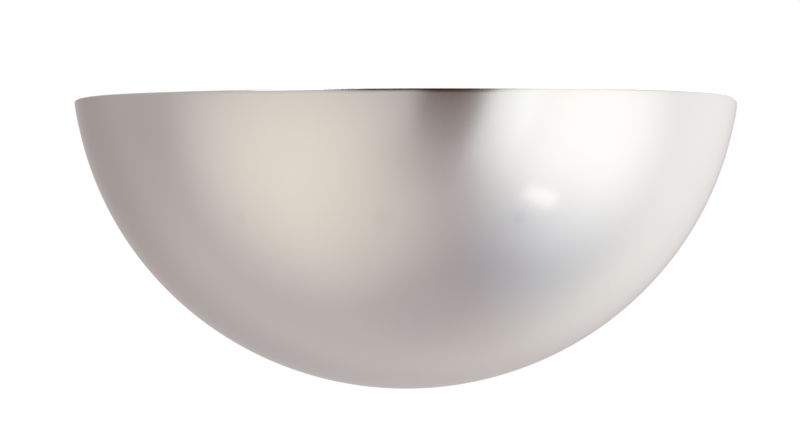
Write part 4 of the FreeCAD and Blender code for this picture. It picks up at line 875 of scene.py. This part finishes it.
def wmath(op, a, b=None):
    n = wnode("ShaderNodeMath", operation=op)
    for i, x in enumerate((a, b)):
        if x is None:
            continue
        if isinstance(x, (int, float)):
            n.inputs[i].default_value = x
        else:
            wt.links.new(x, n.inputs[i])
    return n.outputs[0]


direction = wnode("ShaderNodeTexCoord").outputs["Generated"]


def wdot(v):
    n = wnode("ShaderNodeVectorMath", operation="DOT_PRODUCT")
    wt.links.new(direction, n.inputs[0])
    n.inputs[1].default_value = v
    return n.outputs["Value"]


def wfade(value, a, b):
    """1 below a, 0 above b, smooth between."""
    n = wnode("ShaderNodeMapRange", interpolation_type="SMOOTHSTEP")
    for k, x in zip(("From Min", "From Max", "To Min", "To Max"), (a, b, 1.0, 0.0)):
        n.inputs[k].default_value = x
    wt.links.new(value, n.inputs["Value"])
    return n.outputs["Result"]


def softbox(azimuth, elevation, roll, half_wide, half_tall, soft_wide, soft_tall):
    """How far a direction lies in a soft-edged rectangle on the sky, from 0 to 1. Azimuth 0 is in front of the lamp, 90 to its right."""
    a, e, r = (math.radians(x) for x in (azimuth, elevation, roll))
    c = Vector((math.sin(a) * math.cos(e), -math.cos(a) * math.cos(e), math.sin(e)))
    t1 = Vector((math.cos(a), math.sin(a), 0.0))
    t2 = t1.cross(c).normalized()
    if t2.z < 0:
        t2 = -t2
    u, v = t1 * math.cos(r) + t2 * math.sin(r), t2 * math.cos(r) - t1 * math.sin(r)
    ahead = wdot(c)
    deep = wmath("MAXIMUM", ahead, 0.05)
    x = wmath("ABSOLUTE", wmath("DIVIDE", wdot(u), deep))
    y = wmath("ABSOLUTE", wmath("DIVIDE", wdot(v), deep))
    w, t = math.tan(math.radians(half_wide)), math.tan(math.radians(half_tall))
    inside = wmath("MULTIPLY", wfade(x, w * (1 - soft_wide), w * (1 + soft_wide)), wfade(y, t * (1 - soft_tall), t * (1 + soft_tall)))
    return wmath("MULTIPLY", inside, wmath("GREATER_THAN", ahead, 0.05))


BASE = (0.632, 0.590, 0.585)
BOXES = [
    # azimuth, elevation, roll, half width, half height (degrees), softness of the sides and of the ends, red, green, blue; under zero is a flag that takes light away
    (-41.4, -38.1, -0.7, 31.1, 34.8, 0.91, 1.0, 0.367, 0.369, 0.281),
    (21.1, 15.8, -8.2, 12.9, 33.1, 0.37, 1.0, -0.667, -0.674, -0.689),
    (64.7, -11.4, 9.4, 29.4, 37.2, 0.85, 1.0, 0.451, 0.455, 0.447),
    (100.1, -16.2, 21.3, 62.6, 41.0, 1.0, 1.0, 0.353, 0.395, 0.407),
    (62.9, -43.3, -2.0, 6.0, 2.4, 0.32, 0.3, 0.40, 0.395, 0.365),
    (-122.0, -0.1, -25.5, 35.9, 21.6, 0.54, 0.97, -0.106, -0.108, -0.109),
    (47.8, -71.5, -16.1, 48.1, 22.5, 0.79, 1.0, -0.108, -0.112, -0.097),
    (125.1, -25.3, 5.0, 29.3, 38.6, 1.0, 0.71, 0.132, 0.143, 0.118),
    (18.9, -32.5, 4.7, 16.7, 10.7, 0.87, 0.91, -0.116, -0.122, -0.11),
    (-155.0, -9.6, 9.0, 25.7, 25.8, 0.93, 0.81, -0.146, -0.151, -0.152),
    (39.9, -7.4, -11.2, 8.9, 26.1, 0.28, 0.73, 0.163, 0.215, 0.217),
    (95.0, -54.2, 21.5, 23.2, 16.1, 0.85, 0.78, -0.13, -0.098, -0.051),
    (45.1, -50.1, -10.0, 13.7, 9.7, 0.79, 0.9, -0.123, -0.103, -0.096),
    # a dark strip of ceiling in front, which draws the rim's line
    (-5.0, 48.0, 0.0, 19.0, 48.0, 0.75, 0.25, -0.78, -0.78, -0.78),
    (31.0, 66.0, 0.0, 17.0, 20.0, 0.6, 0.5, 0.34, 0.33, 0.32),
]
total = wnode("ShaderNodeCombineColor")
for i in range(3):
    total.inputs[i].default_value = BASE[i]
total = total.outputs[0]
for *where, r, gg, b in BOXES:
    amount = softbox(*where)
    tint = wnode("ShaderNodeVectorMath", operation="SCALE")
    tint.inputs[0].default_value = (r, gg, b)
    wt.links.new(amount, tint.inputs["Scale"])
    add = wnode("ShaderNodeVectorMath", operation="ADD")
    wt.links.new(total, add.inputs[0])
    wt.links.new(tint.outputs[0], add.inputs[1])
    total = add.outputs[0]
keep = wnode("ShaderNodeVectorMath", operation="MAXIMUM")
wt.links.new(total, keep.inputs[0])
keep.inputs[1].default_value = (0.0, 0.0, 0.0)
studio = wnode("ShaderNodeBackground")
wt.links.new(keep.outputs[0], studio.inputs["Color"])
plain = wnode("ShaderNodeBackground")
plain.inputs["Color"].default_value = (1, 1, 1, 1)
seen = wnode("ShaderNodeLightPath")
both = wnode("ShaderNodeMixShader")
wt.links.new(seen.outputs["Is Camera Ray"], both.inputs["Fac"])
wt.links.new(studio.outputs[0], both.inputs[1])
wt.links.new(plain.outputs[0], both.inputs[2])
out = wnode("ShaderNodeOutputWorld")
wt.links.new(both.outputs[0], out.inputs["Surface"])


def area(name, at, to, wide, tall, watts, colour=(1, 1, 1)):
    l = bpy.data.lights.new(name, "AREA")
    l.shape, l.size, l.size_y, l.energy, l.color = "RECTANGLE", wide, tall, watts, colour
    o = bpy.data.objects.new(name, l)
    bpy.context.collection.objects.link(o)
    o.matrix_world = Matrix.Translation(at) @ (Vector(to) - Vector(at)).to_track_quat("-Z", "Y").to_matrix().to_4x4()
    o.visible_camera = False
    return o


area("key_overhead", (-0.7, -0.5, 1.5), (0, -0.07, 0), 0.6, 0.6, 7)
area("fill_overhead", (0.9, -0.2, 1.3), (0, -0.07, 0), 0.9, 0.9, 3)
area("rear_light", (0.3, 1.6, 0.5), (0, 0, 0), 0.9, 0.9, 8)

scene = bpy.context.scene
scene.view_settings.view_transform = "Standard"
scene.view_settings.look = "None"
